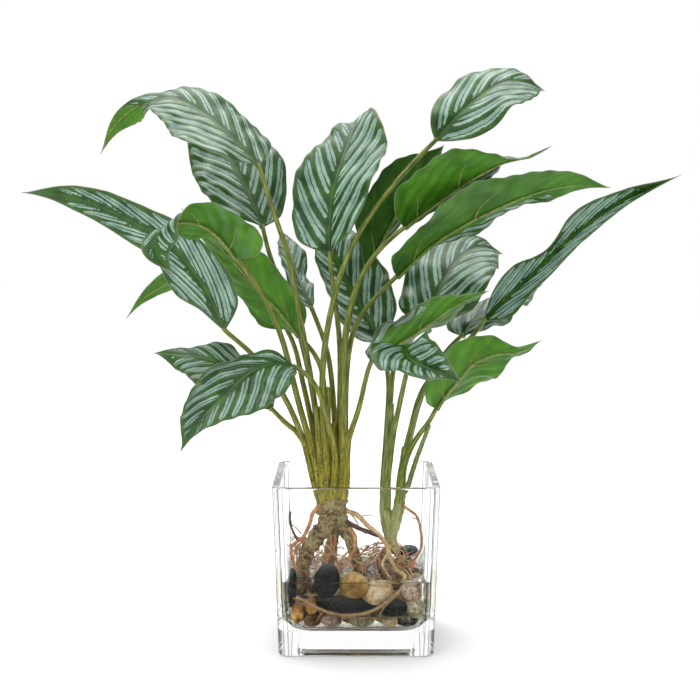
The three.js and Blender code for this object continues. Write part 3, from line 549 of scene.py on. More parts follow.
def blade(leaf, seed, finishes):
    """The leaf's blade as a thin closed skin, with the raised ribs of its underside."""
    at, up = blade_surface(leaf, seed)
    rows = BLADE_STATIONS + 1
    columns = 2 * BLADE_STRIPS + 1
    t, s = np.meshgrid(np.linspace(0, 1, rows), np.linspace(-1, 1, columns), indexing="ij")
    middle, upward, marks = at(t, s)
    normal = unit(np.cross(np.gradient(middle, axis=1), np.gradient(middle, axis=0)))
    normal = normal * np.sign(np.sum(normal * upward, axis=-1, keepdims=True))
    # The skin thins over the last millimetre before the margin
    to_margin = marks["stripe_place"][..., 2]
    half = BLADE_THICKNESS / 2 * smoothstep(0, 1.5, to_margin + 0.5)[..., None]
    upper = middle + normal * half
    lower = middle - normal * half
    points = np.vstack([upper.reshape(-1, 3), lower.reshape(-1, 3)])
    count = rows * columns
    faces = grid_faces(rows, columns, flipped=True)
    faces += grid_faces(rows, columns, start=count)
    turned = np.zeros((rows - 1, columns - 1), int)
    t_mid = t[:-1, :-1] + 0.5 / BLADE_STATIONS
    s_mid = s[:-1, :-1] + 0.5 / BLADE_STRIPS
    for hand, near, far, begin, end in TURNED.get(leaf["name"], []):
        sided = (np.sign(s_mid) == hand) | (hand == 0)
        across = (np.abs(s_mid) >= near) & (np.abs(s_mid) <= far)
        # Where the whole blade turns over, the fold runs aslant
        fold_line = begin + 0.1 * s_mid * (hand == 0)
        turned[sided & across & (t_mid >= fold_line) & (t_mid <= end)] = 1
    finish_of = [*turned.ravel(), *(1 - turned.ravel())]
    # The rim joins both skins once round the blade
    last = (rows - 1) * columns
    rim = list(range(columns))
    rim += range(2 * columns - 1, rows * columns, columns)
    rim += range(last + columns - 2, last - 1, -1)
    rim += range(last - columns, 0, -columns)
    for here, there in zip(rim, rim[1:] + rim[:1]):
        faces.append((here, there, there + count, here + count))
        finish_of.append(1)
    values = {name: np.vstack([found.reshape(-1, 3)] * 2) for name, found in marks.items()}
    fine = np.linspace(0, 1, SPINE_STEPS)
    for rib_t, rib_s, radii, way in blade_ribs(leaf):
        radius = np.interp(np.linspace(0, 1, len(rib_t)), np.linspace(0, 1, len(radii)), radii)
        raised = way * np.maximum(radius - RIB_SINK, RIB_SINK)[:, None]
        line, _, _ = at(rib_t, rib_s + 1e-6)
        upward = np.stack([np.interp(rib_t, fine, up[:, k]) for k in range(3)], axis=-1)
        body, body_faces, body_marks = tube(line + upward * raised, radii, *FINENESS["rib"])
        faces.extend(tuple(k + len(points) for k in face) for face in body_faces)
        finish_of += [2] * len(body_faces)
        points = np.vstack([points, body])
        values["blade_mm"] = np.vstack([values["blade_mm"], body_marks])
        values["stripe_place"] = np.vstack([values["stripe_place"], np.zeros_like(body_marks)])
    # The underside's depth is partly the leaf's own tone and partly painted shade
    depth = UNDERSIDE_TONE_AND_SHADE.get(leaf["name"], USUAL_TONE_AND_SHADE)
    cover = LEANS.get(leaf["name"], LEAN)[2]
    values["leaf_tone_and_shade"] = np.full((len(points), 3), depth)
    values["stripe_cover"] = np.full((len(points), 3), cover)
    # The CAD model's box is the plant's reach, and no crest of a blade passes it
    points = np.clip(points, box_mm[0] + BOX_ROOM, box_mm[1] - BOX_ROOM)
    name = leaf["name"].replace("leaf_", "blade_")
    thing = piece(name, points, faces, finishes, finish_of, values)
    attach(thing, "root")
    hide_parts(leaf["name"])


# Finishes. Noise scales on a leaf or a stalk are in patches per millimetre, because those
# carry their own millimetres with them, and all others are in patches per metre

# One full turn, as a cosine node takes it
TURN = 6.28319
DRY_EDGE = 0x7d746e
CLEAR_GLASS = 0xfdfefe
# The soft light boxes of a studio give glass and water weaker mirror images than this room does
WEAK_MIRROR = 0x6a6a6a
WAX_IOR = 1.45


def new_finish(name):
    """A material with an empty node tree."""
    skin = bpy.data.materials.new(name)
    skin.use_nodes = True
    skin.node_tree.nodes.clear()
    return skin, skin.node_tree


def striped_leaf_face():
    """Waxy leaf face, grown in green with silver stripes in pairs along the side veins.

    To the eye it is deep green under a satin gloss, which breaks at every pleat, and the
    stripes are duller and grainier than the green.
    """
    skin, tree = new_finish("striped_leaf_face")
    stripe = add(tree, "ShaderNodeAttribute", attribute_name="stripe_place")
    place = add(tree, "ShaderNodeAttribute", attribute_name="blade_mm")
    split = add(tree, "ShaderNodeSeparateXYZ", {"Vector": stripe.outputs["Vector"]})
    pair, distance, margin = split.outputs
    cover = add(tree, "ShaderNodeAttribute", attribute_name="stripe_cover")
    # The pattern comes back every 5.5 to 10.5 mm across the veins: two stripes, the vein's line
    # between them and a green band. The stripes' edges wander by about half a millimetre over 3 mm
    wander = add(tree, "ShaderNodeTexNoise", {
        "Vector": place.outputs["Vector"], "Scale": 0.3, "Detail": 4.0, "Roughness": 0.6,
    })
    drift = add(tree, "ShaderNodeMapRange", {
        "Value": wander.outputs["Fac"], "To Min": -0.1, "To Max": 0.1,
    }, clamp=False)
    moved = add(tree, "ShaderNodeMath", {0: pair, 1: drift.outputs[0]}, operation="ADD")
    turn = add(tree, "ShaderNodeMath", {0: moved.outputs[0]}, operation="FRACT")
    centred = add(tree, "ShaderNodeMath", {0: turn.outputs[0], 1: 0.5}, operation="SUBTRACT")
    off_vein = add(tree, "ShaderNodeMath", {0: centred.outputs[0]}, operation="ABSOLUTE")
    # Each pair starts 1.5 to 4.5 mm off the midrib and runs out before the margin
    ragged = add(tree, "ShaderNodeMapRange", {
        "Value": wander.outputs["Fac"], "To Min": -3.0, "To Max": 3.0,
    }, clamp=False)
    from_rib = add(tree, "ShaderNodeMath", {0: distance, 1: ragged.outputs[0]}, operation="ADD")
    from_edge = add(tree, "ShaderNodeMath", {0: margin, 1: ragged.outputs[0]}, operation="ADD")
    opening = add(tree, "ShaderNodeMapRange", {
        "Value": from_rib.outputs[0], "From Min": 1.5, "From Max": 4.5,
    }, interpolation_type="SMOOTHSTEP")
    closing = add(tree, "ShaderNodeMapRange", {
        "Value": from_edge.outputs[0], "From Min": 0.3, "From Max": 6.0,
    }, interpolation_type="SMOOTHSTEP")
    both = add(tree, "ShaderNodeMath", {0: opening.outputs[0], 1: closing.outputs[0]},
               operation="MULTIPLY")
    half_width = add(tree, "ShaderNodeMath", {0: both.outputs[0], 1: cover.outputs["Fac"]},
                     operation="MULTIPLY")
    inside = add(tree, "ShaderNodeMath", {0: half_width.outputs[0], 1: off_vein.outputs[0]},
                 operation="SUBTRACT")
    outer = add(tree, "ShaderNodeMapRange", {
        "Value": inside.outputs[0], "From Min": -0.02, "From Max": 0.03,
    }, interpolation_type="SMOOTHSTEP")
    # The gap at the vein is a narrow wedge, widest where the pair starts
    wedge = add(tree, "ShaderNodeMapRange", {
        "Value": from_rib.outputs[0], "From Min": 3.0, "From Max": 10.0, "To Min": 0.09,
        "To Max": 0.035,
    })
    clear = add(tree, "ShaderNodeMath", {0: off_vein.outputs[0], 1: wedge.outputs[0]},
                operation="SUBTRACT")
    inner = add(tree, "ShaderNodeMapRange", {
        "Value": clear.outputs[0], "From Min": -0.01, "From Max": 0.02,
    }, interpolation_type="SMOOTHSTEP")
    silver = add(tree, "ShaderNodeMath", {0: outer.outputs[0], 1: inner.outputs[0]},
                 operation="MULTIPLY")
    # Leaf cells show as grain of about half a millimetre
    grain = add(tree, "ShaderNodeTexNoise", {
        "Vector": place.outputs["Vector"], "Scale": 1.8, "Detail": 2.0,
    })
    thinned = add(tree, "ShaderNodeMapRange", {
        "Value": grain.outputs["Fac"], "From Min": 0.3, "From Max": 0.5, "To Min": 0.7,
    })
    painted = add(tree, "ShaderNodeMath", {0: silver.outputs[0], 1: thinned.outputs[0]},
                  operation="MULTIPLY")
    cloud = add(tree, "ShaderNodeTexNoise", {
        "Vector": place.outputs["Vector"], "Scale": 0.07, "Detail": 3.0,
    })
    green = add(tree, "ShaderNodeValToRGB", {"Fac": cloud.outputs["Fac"]},
                stops=[(0.35, 0x18360d), (0.65, 0x315a19)])
    pale = add(tree, "ShaderNodeValToRGB", {"Fac": cloud.outputs["Fac"]},
               stops=[(0.35, 0x688678), (0.65, 0x93aca1)])
    rim_share = add(tree, "ShaderNodeMapRange", {
        "Value": margin, "From Min": 1.0, "From Max": 6.0, "To Min": 0.6, "To Max": 0.0,
    })
    rimmed = add(tree, "ShaderNodeMix", {
        0: rim_share.outputs[0], 6: green.outputs[0], 7: linear(0x3d5f2a),
    }, data_type="RGBA")
    rib_share = add(tree, "ShaderNodeMapRange", {
        "Value": distance, "From Min": 0.2, "From Max": 0.55, "To Min": 0.7, "To Max": 0.0,
    })
    ribbed = add(tree, "ShaderNodeMix", {
        0: rib_share.outputs[0], 6: rimmed.outputs[2], 7: linear(0x48682c),
    }, data_type="RGBA")
    striped = add(tree, "ShaderNodeMix", {
        0: painted.outputs[0], 6: ribbed.outputs[2], 7: pale.outputs[0],
    }, data_type="RGBA")
    edge_share = add(tree, "ShaderNodeMapRange", {
        "Value": margin, "From Min": 0.25, "From Max": 0.7, "To Min": 0.8, "To Max": 0.0,
    })
    edged = add(tree, "ShaderNodeMix", {
        0: edge_share.outputs[0], 6: striped.outputs[2], 7: linear(DRY_EDGE),
    }, data_type="RGBA")
    relief = add(tree, "ShaderNodeMath", {0: silver.outputs[0], 1: grain.outputs["Fac"]},
                 operation="ADD")
    bump = add(tree, "ShaderNodeBump", {
        "Height": relief.outputs[0], "Strength": 0.35, "Distance": 0.0002,
    })
    gloss = add(tree, "ShaderNodeMapRange", {
        "Value": cloud.outputs["Fac"], "To Min": 0.28, "To Max": 0.42,
    })
    body = add(tree, "ShaderNodeBsdfPrincipled", {
        "Base Color": edged.outputs[2], "Roughness": gloss.outputs[0], "IOR": WAX_IOR,
        "Normal": bump.outputs[0], "Specular IOR Level": 0.38,
    })
    add(tree, "ShaderNodeOutputMaterial", {"Surface": body.outputs[0]})
    return skin


def plain_leaf_back():
    """Leaf underside, without stripes: a plain fresh green, deeper on some leaves as their own tone
    and as painted shade, with painted shade in the hollow of each pleat.

    To the eye it is brighter and more even than the face, and half matt.
    """
    skin, tree = new_finish("plain_leaf_back")
    stripe = add(tree, "ShaderNodeAttribute", attribute_name="stripe_place")
    place = add(tree, "ShaderNodeAttribute", attribute_name="blade_mm")
    tone = add(tree, "ShaderNodeAttribute", attribute_name="leaf_tone_and_shade")
    split = add(tree, "ShaderNodeSeparateXYZ", {"Vector": stripe.outputs["Vector"]})
    pair, _, margin = split.outputs
    cloud = add(tree, "ShaderNodeTexNoise", {
        "Vector": place.outputs["Vector"], "Scale": 0.05, "Detail": 3.0,
    })
    fresh = add(tree, "ShaderNodeValToRGB", {"Fac": cloud.outputs["Fac"]},
                stops=[(0.35, 0x3a6d10), (0.65, 0x558c1c)])
    deep = add(tree, "ShaderNodeValToRGB", {"Fac": cloud.outputs["Fac"]},
               stops=[(0.35, 0x214409), (0.65, 0x33600f)])
    # Per leaf the green deepens, partly as its own tone and partly as painted shade
    mixed = add(tree, "ShaderNodeMix", {
        0: tone.outputs["Fac"], 6: fresh.outputs[0], 7: deep.outputs[0],
    }, data_type="RGBA")
    # Painted shade: the hollow of each pleat is drawn darker
    turn = add(tree, "ShaderNodeMath", {0: pair, 1: TURN}, operation="MULTIPLY")
    pleat = add(tree, "ShaderNodeMath", {0: turn.outputs[0]}, operation="COSINE")
    shade = add(tree, "ShaderNodeMapRange", {
        "Value": pleat.outputs[0], "From Min": -1.0, "To Min": 0.0, "To Max": 0.25,
    })
    pleat_shaded = add(tree, "ShaderNodeMix", {
        0: shade.outputs[0], 6: mixed.outputs[2], 7: linear(0x2f5a1c),
    }, data_type="RGBA")
    edge_share = add(tree, "ShaderNodeMapRange", {
        "Value": margin, "From Min": 0.25, "From Max": 0.7, "To Min": 0.7, "To Max": 0.0,
    })
    edged = add(tree, "ShaderNodeMix", {
        0: edge_share.outputs[0], 6: pleat_shaded.outputs[2], 7: linear(DRY_EDGE),
    }, data_type="RGBA")
    grain = add(tree, "ShaderNodeTexNoise", {
        "Vector": place.outputs["Vector"], "Scale": 1.5, "Detail": 2.0,
    })
    bump = add(tree, "ShaderNodeBump", {
        "Height": grain.outputs["Fac"], "Strength": 0.25, "Distance": 0.0002,
    })
    body = add(tree, "ShaderNodeBsdfPrincipled", {
        "Base Color": edged.outputs[2], "Roughness": 0.42, "IOR": WAX_IOR,
        "Normal": bump.outputs[0], "Specular IOR Level": 0.3,
    })
    add(tree, "ShaderNodeOutputMaterial", {"Surface": body.outputs[0]})
    return skin


def leaf_rib():
    """Skin of the raised ribs. To the eye they are dull olive cords with brownish stretches."""
    skin, tree = new_finish("leaf_rib")
    place = add(tree, "ShaderNodeAttribute", attribute_name="blade_mm")
    patch = add(tree, "ShaderNodeTexNoise", {
        "Vector": place.outputs["Vector"], "Scale": 0.25, "Detail": 3.0,
    })
    colour = add(tree, "ShaderNodeValToRGB", {"Fac": patch.outputs["Fac"]},
                 stops=[(0.3, 0x5b5229), (0.5, 0x6c7f3c), (0.7, 0x808f4c)])
    bump = add(tree, "ShaderNodeBump", {
        "Height": patch.outputs["Fac"], "Strength": 0.3, "Distance": 0.0003,
    })
    body = add(tree, "ShaderNodeBsdfPrincipled", {
        "Base Color": colour.outputs[0], "Roughness": 0.55, "IOR": WAX_IOR,
        "Normal": bump.outputs[0],
    })
    add(tree, "ShaderNodeOutputMaterial", {"Surface": body.outputs[0]})
    return skin


def stem_finish(name, low, high, spots, spot_share, change, roughness):
    """Smooth stalk skin. low and high are its colours below and above the heights in change.

    To the eye it is streaked along the stem, with dried brown specks low down.
    """
    skin, tree = new_finish(name)
    place = add(tree, "ShaderNodeAttribute", attribute_name="stem_mm")
    where = add(tree, "ShaderNodeTexCoord")
    split = add(tree, "ShaderNodeSeparateXYZ", {"Vector": where.outputs["Object"]})
    # Streaks are about 1 mm wide and 12 mm long. Specks are about 2 mm wide with finer edges.
    # Real ones are half that size, and these are drawn coarser so that they show
    long_way = add(tree, "ShaderNodeVectorMath", {0: place.outputs["Vector"], 1: (0.08, 0.9, 1.0)},
                   operation="MULTIPLY")
    streak = add(tree, "ShaderNodeTexNoise", {
        "Vector": long_way.outputs[0], "Scale": 1.0, "Detail": 3.0,
    })
    lower = add(tree, "ShaderNodeValToRGB", {"Fac": streak.outputs["Fac"]}, stops=low)
    upper = add(tree, "ShaderNodeValToRGB", {"Fac": streak.outputs["Fac"]}, stops=high)
    rise = add(tree, "ShaderNodeMapRange", {
        "Value": split.outputs[2], "From Min": change[0] * MM, "From Max": change[1] * MM,
    })
    grown = add(tree, "ShaderNodeMix", {
        0: rise.outputs[0], 6: lower.outputs[0], 7: upper.outputs[0],
    }, data_type="RGBA")
    speck = add(tree, "ShaderNodeTexNoise", {
        "Vector": where.outputs["Object"], "Scale": 520.0, "Detail": 4.0, "Roughness": 0.8,
    })
    spotted = add(tree, "ShaderNodeMapRange", {
        "Value": speck.outputs["Fac"], "From Min": 0.51, "From Max": 0.56,
    })
    # The specks crowd in patches of some 10 mm and leave others clean
    crowd = add(tree, "ShaderNodeTexNoise", {
        "Vector": where.outputs["Object"], "Scale": 95.0, "Detail": 2.0,
    })
    crowded = add(tree, "ShaderNodeMapRange", {
        "Value": crowd.outputs["Fac"], "From Min": 0.38, "From Max": 0.52,
    })
    low_down = add(tree, "ShaderNodeMapRange", {
        "Value": rise.outputs[0], "To Min": spot_share, "To Max": 0.0,
    })
    patches = add(tree, "ShaderNodeMath", {0: crowded.outputs[0], 1: low_down.outputs[0]},
                  operation="MULTIPLY")
    share = add(tree, "ShaderNodeMath", {0: spotted.outputs[0], 1: patches.outputs[0]},
                operation="MULTIPLY")
    speckled = add(tree, "ShaderNodeMix", {
        0: share.outputs[0], 6: grown.outputs[2], 7: linear(spots),
    }, data_type="RGBA")
    bump = add(tree, "ShaderNodeBump", {
        "Height": streak.outputs["Fac"], "Strength": 0.4, "Distance": 0.0004,
    })
    body = add(tree, "ShaderNodeBsdfPrincipled", {
        "Base Color": speckled.outputs[2], "Roughness": roughness, "IOR": WAX_IOR,
        "Normal": bump.outputs[0],
    })
    add(tree, "ShaderNodeOutputMaterial", {"Surface": body.outputs[0]})
    return skin


def bark_finish(name, stops, scale, depth):
    """Rough corky skin of the crown and the roots: scale is in patches per metre.

    Patches of 2.4 or 3.3 mm, broader ones of five times that, and pits a quarter as wide,
    which give the eye a dry surface without gloss.
    """
    skin, tree = new_finish(name)
    where = add(tree, "ShaderNodeTexCoord")
    patch = add(tree, "ShaderNodeTexNoise", {
        "Vector": where.outputs["Object"], "Scale": scale, "Detail": 8.0, "Roughness": 0.8,
    })
    broad = add(tree, "ShaderNodeTexNoise", {
        "Vector": where.outputs["Object"], "Scale": scale / 5, "Detail": 2.0,
    })
    mottled = add(tree, "ShaderNodeMix", {
        0: 0.25, 2: patch.outputs["Fac"], 3: broad.outputs["Fac"],
    })
    colour = add(tree, "ShaderNodeValToRGB", {"Fac": mottled.outputs[0]}, stops=stops)
    pits = add(tree, "ShaderNodeTexVoronoi", {
        "Vector": where.outputs["Object"], "Scale": scale * 4,
    })
    height = add(tree, "ShaderNodeMath", {0: patch.outputs["Fac"], 1: pits.outputs["Distance"]},
                 operation="ADD")
    bump = add(tree, "ShaderNodeBump", {
        "Height": height.outputs[0], "Strength": 0.9, "Distance": depth * MM,
    })
    body = add(tree, "ShaderNodeBsdfPrincipled", {
        "Base Color": colour.outputs[0], "Roughness": 0.7, "IOR": WAX_IOR,
        "Normal": bump.outputs[0],
    })
    add(tree, "ShaderNodeOutputMaterial", {"Surface": body.outputs[0]})
    return skin


def pebble_finish(name, stops, scale, roughness, pitted, speck, specks, gloss=0.25):
    """A river stone tumbled smooth by water.

    To the eye it is cloudy over some 11 mm, grainy over 1.5 to 5 mm, and as glossy as its
    mineral lets it be when wet.
    """
    skin, tree = new_finish(name)
    where = add(tree, "ShaderNodeTexCoord")
    cloud = add(tree, "ShaderNodeTexNoise", {
        "Vector": where.outputs["Object"], "Scale": 90.0, "Detail": 4.0,
    })
    grain = add(tree, "ShaderNodeTexNoise", {
        "Vector": where.outputs["Object"], "Scale": scale, "Detail": 3.0, "Roughness": 0.7,
    })
    blend = add(tree, "ShaderNodeMix", {0: 0.5, 2: cloud.outputs["Fac"], 3: grain.outputs["Fac"]})
    colour = add(tree, "ShaderNodeValToRGB", {"Fac": blend.outputs[0]}, stops=stops)
    # Specks of about 1 mm, pale on dark stones and dark on pale ones: mineral grains, and on the
    # black basalt painted glints that stand in for small highlights. Real ones are half that size,
    # and these are drawn coarser so that they show
    cells = add(tree, "ShaderNodeTexVoronoi", {"Vector": where.outputs["Object"], "Scale": 430.0})
    chosen = add(tree, "ShaderNodeMapRange", {
        "Value": cells.outputs["Distance"], "From Min": 0.2, "From Max": 0.38, "To Min": specks,
        "To Max": 0.0,
    })
    patchy = add(tree, "ShaderNodeMath", {0: chosen.outputs[0], 1: cloud.outputs["Fac"]},
                 operation="MULTIPLY")
    dotted = add(tree, "ShaderNodeMix", {
        0: patchy.outputs[0], 6: colour.outputs[0], 7: linear(speck),
    }, data_type="RGBA")
    # Tops are painted paler grey where they face up: a painted sheen standing in for the bright sky
    # that they mirror
    faced = add(tree, "ShaderNodeSeparateXYZ", {"Vector": where.outputs["Normal"]})
    up = add(tree, "ShaderNodeMapRange", {
        "Value": faced.outputs[2], "From Min": 0.35, "From Max": 1.0, "To Max": 0.3,
    })
    top_sheen_share = add(tree, "ShaderNodeMath", {0: up.outputs[0], 1: grain.outputs["Fac"]},
                operation="MULTIPLY")
    painted_top_sheen = add(tree, "ShaderNodeMix", {
        0: top_sheen_share.outputs[0], 6: dotted.outputs[2], 7: linear(0xa9a69e),
    }, data_type="RGBA")
    bump = add(tree, "ShaderNodeBump", {
        "Height": grain.outputs["Fac"], "Strength": pitted, "Distance": 0.0005,
    })
    body = add(tree, "ShaderNodeBsdfPrincipled", {
        "Base Color": painted_top_sheen.outputs[2], "Roughness": roughness, "IOR": 1.52,
        "Normal": bump.outputs[0], "Specular IOR Level": gloss,
    })
    add(tree, "ShaderNodeOutputMaterial", {"Surface": body.outputs[0]})
    return skin


def soda_lime_glass():
    """Pressed soda-lime glass, fire polished.

    To the eye it is clear with sharp reflections. It is painted grey where one looks along a wall,
    with painted dark lines beside its corners: painted shade standing in for the darker room that
    the glass mirrors and bends.
    """
    skin, tree = new_finish("soda_lime_glass")
    where = add(tree, "ShaderNodeTexCoord")
    # The pressed walls wave very slightly over some 30 mm
    swell = add(tree, "ShaderNodeTexNoise", {
        "Vector": where.outputs["Object"], "Scale": 30.0, "Detail": 1.0,
    })
    bump = add(tree, "ShaderNodeBump", {
        "Height": swell.outputs["Fac"], "Strength": 0.02, "Distance": 0.0005,
    })
    # Where the walls and rounded corners are seen edge on they are painted grey, a painted shade
    # standing in for the darker room that they mirror and bend, and the flat rim and floor stay
    # clear
    slope = add(tree, "ShaderNodeLayerWeight", {"Blend": 0.5})
    painted_edge_shade = add(tree, "ShaderNodeValToRGB", {"Fac": slope.outputs["Facing"]},
                stops=[(0.0, CLEAR_GLASS), (0.55, 0xf6f8f8), (0.8, 0x8e9494), (0.95, 0x2c3030)])
    faced = add(tree, "ShaderNodeSeparateXYZ", {"Vector": where.outputs["Normal"]})
    level = add(tree, "ShaderNodeMath", {0: faced.outputs[2]}, operation="ABSOLUTE")
    flat = add(tree, "ShaderNodeMapRange", {
        "Value": level.outputs[0], "From Min": 0.6, "From Max": 0.9,
    })
    depth = add(tree, "ShaderNodeMix", {
        0: flat.outputs[0], 6: painted_edge_shade.outputs[0], 7: linear(CLEAR_GLASS),
    }, data_type="RGBA")
    # Painted dark lines stand where each rounded corner starts and turns: painted shade standing in
    # for the darker room that each corner bends into view
    place = add(tree, "ShaderNodeSeparateXYZ", {"Vector": where.outputs["Object"]})
    across = add(tree, "ShaderNodeMath", {0: place.outputs[0]}, operation="ABSOLUTE")
    deep = add(tree, "ShaderNodeMath", {0: place.outputs[1]}, operation="ABSOLUTE")
    aside = add(tree, "ShaderNodeMath", {0: across.outputs[0], 1: deep.outputs[0]},
                operation="MINIMUM")
    reach = add(tree, "ShaderNodeMapRange", {
        "Value": place.outputs[2], "From Max": VASE["height"] * MM, "To Min": outer_half(0) * MM,
        "To Max": outer_half(VASE["height"]) * MM,
    })
    inward = add(tree, "ShaderNodeMath", {0: reach.outputs[0], 1: aside.outputs[0]},
                 operation="SUBTRACT")
    painted_lines = depth
    for line in PAINTED_CORNER_LINES:
        off_line = add(tree, "ShaderNodeMath", {0: inward.outputs[0], 1: line * MM},
                       operation="SUBTRACT")
        beside = add(tree, "ShaderNodeMath", {0: off_line.outputs[0]}, operation="ABSOLUTE")
        drawn = add(tree, "ShaderNodeMapRange", {
            "Value": beside.outputs[0], "From Min": 0.15 * MM, "From Max": 0.6 * MM, "To Min": 0.85,
            "To Max": 0.0,
        })
        painted_lines = add(tree, "ShaderNodeMix", {
            0: drawn.outputs[0], 6: painted_lines.outputs[2], 7: linear(0x3c4141),
        }, data_type="RGBA")
    body = add(tree, "ShaderNodeBsdfPrincipled", {
        "Base Color": painted_lines.outputs[2], "Roughness": 0.0, "IOR": 1.5, "Transmission Weight": 1.0,
        "Specular Tint": linear(WEAK_MIRROR), "Normal": bump.outputs[0],
    })
    add(tree, "ShaderNodeOutputMaterial", {"Surface": body.outputs[0]})
    return skin


def still_water():
    """Clear tap water that has stood over stones.

    To the eye it has a faint warm tint, and its surface mirrors what stands in it.
    """
    skin, tree = new_finish("still_water")
    where = add(tree, "ShaderNodeTexCoord")
    swell = add(tree, "ShaderNodeTexNoise", {
        "Vector": where.outputs["Object"], "Scale": 45.0, "Detail": 1.0,
    })
    bump = add(tree, "ShaderNodeBump", {
        "Height": swell.outputs["Fac"], "Strength": 0.08, "Distance": 0.0005,
    })
    body = add(tree, "ShaderNodeBsdfPrincipled", {
        "Base Color": linear(0xf9f7f0), "Roughness": 0.0, "IOR": 1.333, "Transmission Weight": 1.0,
        "Specular Tint": linear(WEAK_MIRROR), "Normal": bump.outputs[0],
    })
    add(tree, "ShaderNodeOutputMaterial", {"Surface": body.outputs[0]})
    return skin


def matt_white_paper():
    """Background paper of a studio: matt white with a trace of fibre every 2.5 mm."""
    skin, tree = new_finish("matt_white_paper")
    where = add(tree, "ShaderNodeTexCoord")
    fibre = add(tree, "ShaderNodeTexNoise", {
        "Vector": where.outputs["Object"], "Scale": 400.0, "Detail": 2.0,
    })
    colour = add(tree, "ShaderNodeValToRGB", {"Fac": fibre.outputs["Fac"]},
                 stops=[(0.3, 0xf7f7f7), (0.7, 0xfcfcfc)])
    body = add(tree, "ShaderNodeBsdfPrincipled", {
        "Base Color": colour.outputs[0], "Roughness": 0.9, "Specular IOR Level": 0.1,
    })
    add(tree, "ShaderNodeOutputMaterial", {"Surface": body.outputs[0]})
    return skin


# Stones. Each kind has its finish's name, its colours from its darkest to its palest grain, the
# grain's scale, its roughness, how deep it is pitted, the colour of its specks (mineral grains,
# and on the black basalt painted glints), how strongly they show and, where it isn't the usual
# one, its gloss

PEBBLES = {
    # The black basalt's pale specks are painted glints, standing in for small highlights
    "black": ("worn_basalt", [(0.35, 0x040404), (0.6, 0x0a0a09), (0.75, 0x181715)],
        500.0, 0.2, 0.1, 0xb9b8b0, 0.15, 0.1),
    "blue": ("blue_slate", [(0.35, 0x0b1019), (0.6, 0x1b2535), (0.75, 0x3a475e)],
        400.0, 0.25, 0.4, 0x8f9db4, 0.3, 0.2),
    "tan": ("tan_sandstone", [(0.38, 0x74521f), (0.5, 0xa27a38), (0.62, 0xc9a766)],
        220.0, 0.35, 0.15, 0x5e4420, 0.5),
    "amber": ("amber_quartz", [(0.4, 0x6b3a0c), (0.5, 0xb87820), (0.6, 0xe6bd72)],
        200.0, 0.3, 0.3, 0x4f2c0c, 0.6),
    "cream": ("cream_marble", [(0.4, 0xa5854f), (0.5, 0xdcc195), (0.6, 0xf4e8cc)],
        260.0, 0.35, 0.25, 0x8a6438, 0.9),
    "pink": ("pink_granite", [(0.42, 0x6b4c3a), (0.5, 0xb2937b), (0.58, 0xeadccb)],
        560.0, 0.45, 0.6, 0x3c2a22, 1.5),
    "grey": ("grey_limestone", [(0.42, 0x6f6647), (0.5, 0xb0a684), (0.58, 0xe4dcc2)],
        520.0, 0.4, 0.4, 0x4b4026, 1.4),
    "speckled": ("speckled_diorite", [(0.44, 0x0c0b0a), (0.52, 0x24211d), (0.6, 0xa39c8a)],
        700.0, 0.35, 0.4, 0xcbc4b0, 1.3, 0.15),
    "brown": ("brown_flint", [(0.4, 0x2e1d0d), (0.5, 0x65441f), (0.6, 0x9c7843)],
        260.0, 0.35, 0.2, 0x1e140b, 0.6, 0.2),
}

# Smaller stones that fill the middle of the vase: kind, middle, half sizes and roll in degrees
FILL_STONES = [
    ("brown", (-22, -22, 23), (11, 9, 7), 5), ("tan", (1, -22, 22.5), (12, 10, 6.5), -4),
    ("grey", (24, -22, 23), (10, 10, 7), 8), ("black", (-20, 2, 23), (11, 12, 7), -6),
    ("cream", (4, 4, 22.5), (12, 12, 6.5), 3), ("brown", (24, 2, 23), (10, 11, 7), -5),
    ("tan", (-20, 24, 23), (11, 10, 7), 6), ("black", (4, 25, 22.5), (12, 9, 6.5), -3),
    ("grey", (24, 25, 23), (9, 9, 7), 4), ("black", (-28, -28, 34), (8, 8, 6.5), 10),
    ("brown", (-10, -26, 35), (9, 9, 6.5), -8), ("amber", (9, -27, 35.5), (9, 8, 7), 6),
    ("tan", (29, -26, 37), (9, 9, 7.5), -12), ("grey", (-13, -10, 36), (8, 8, 6.5), 6),
    ("brown", (15, -8, 36), (10, 9, 7), 5), ("black", (31, -5, 37), (7, 9, 6.5), 0),
    ("cream", (-29, 10, 36), (8, 9, 6.5), -6), ("brown", (-4, 16, 36), (10, 9, 7), 4),
    ("speckled", (17, 13, 36), (8, 9, 6.5), -8), ("tan", (-14, 30, 37), (9, 8, 6.5), 3),
    ("black", (10, 30, 37), (9, 8, 6.5), 5), ("tan", (10, -26, 47), (9, 8, 6), -4),
    ("brown", (28, -20, 48.5), (8, 8, 5.5), 8), ("black", (4, -14, 46.5), (9, 8, 5.5), 5),
    ("brown", (-6, 6, 46.5), (9, 9, 5.5), -3), ("tan", (18, 28, 47), (10, 8, 6), 6),
    ("brown", (-32, -16, 46), (6, 9, 6), 4), ("grey", (-24, 36, 49), (9, 7, 6), -8),
]


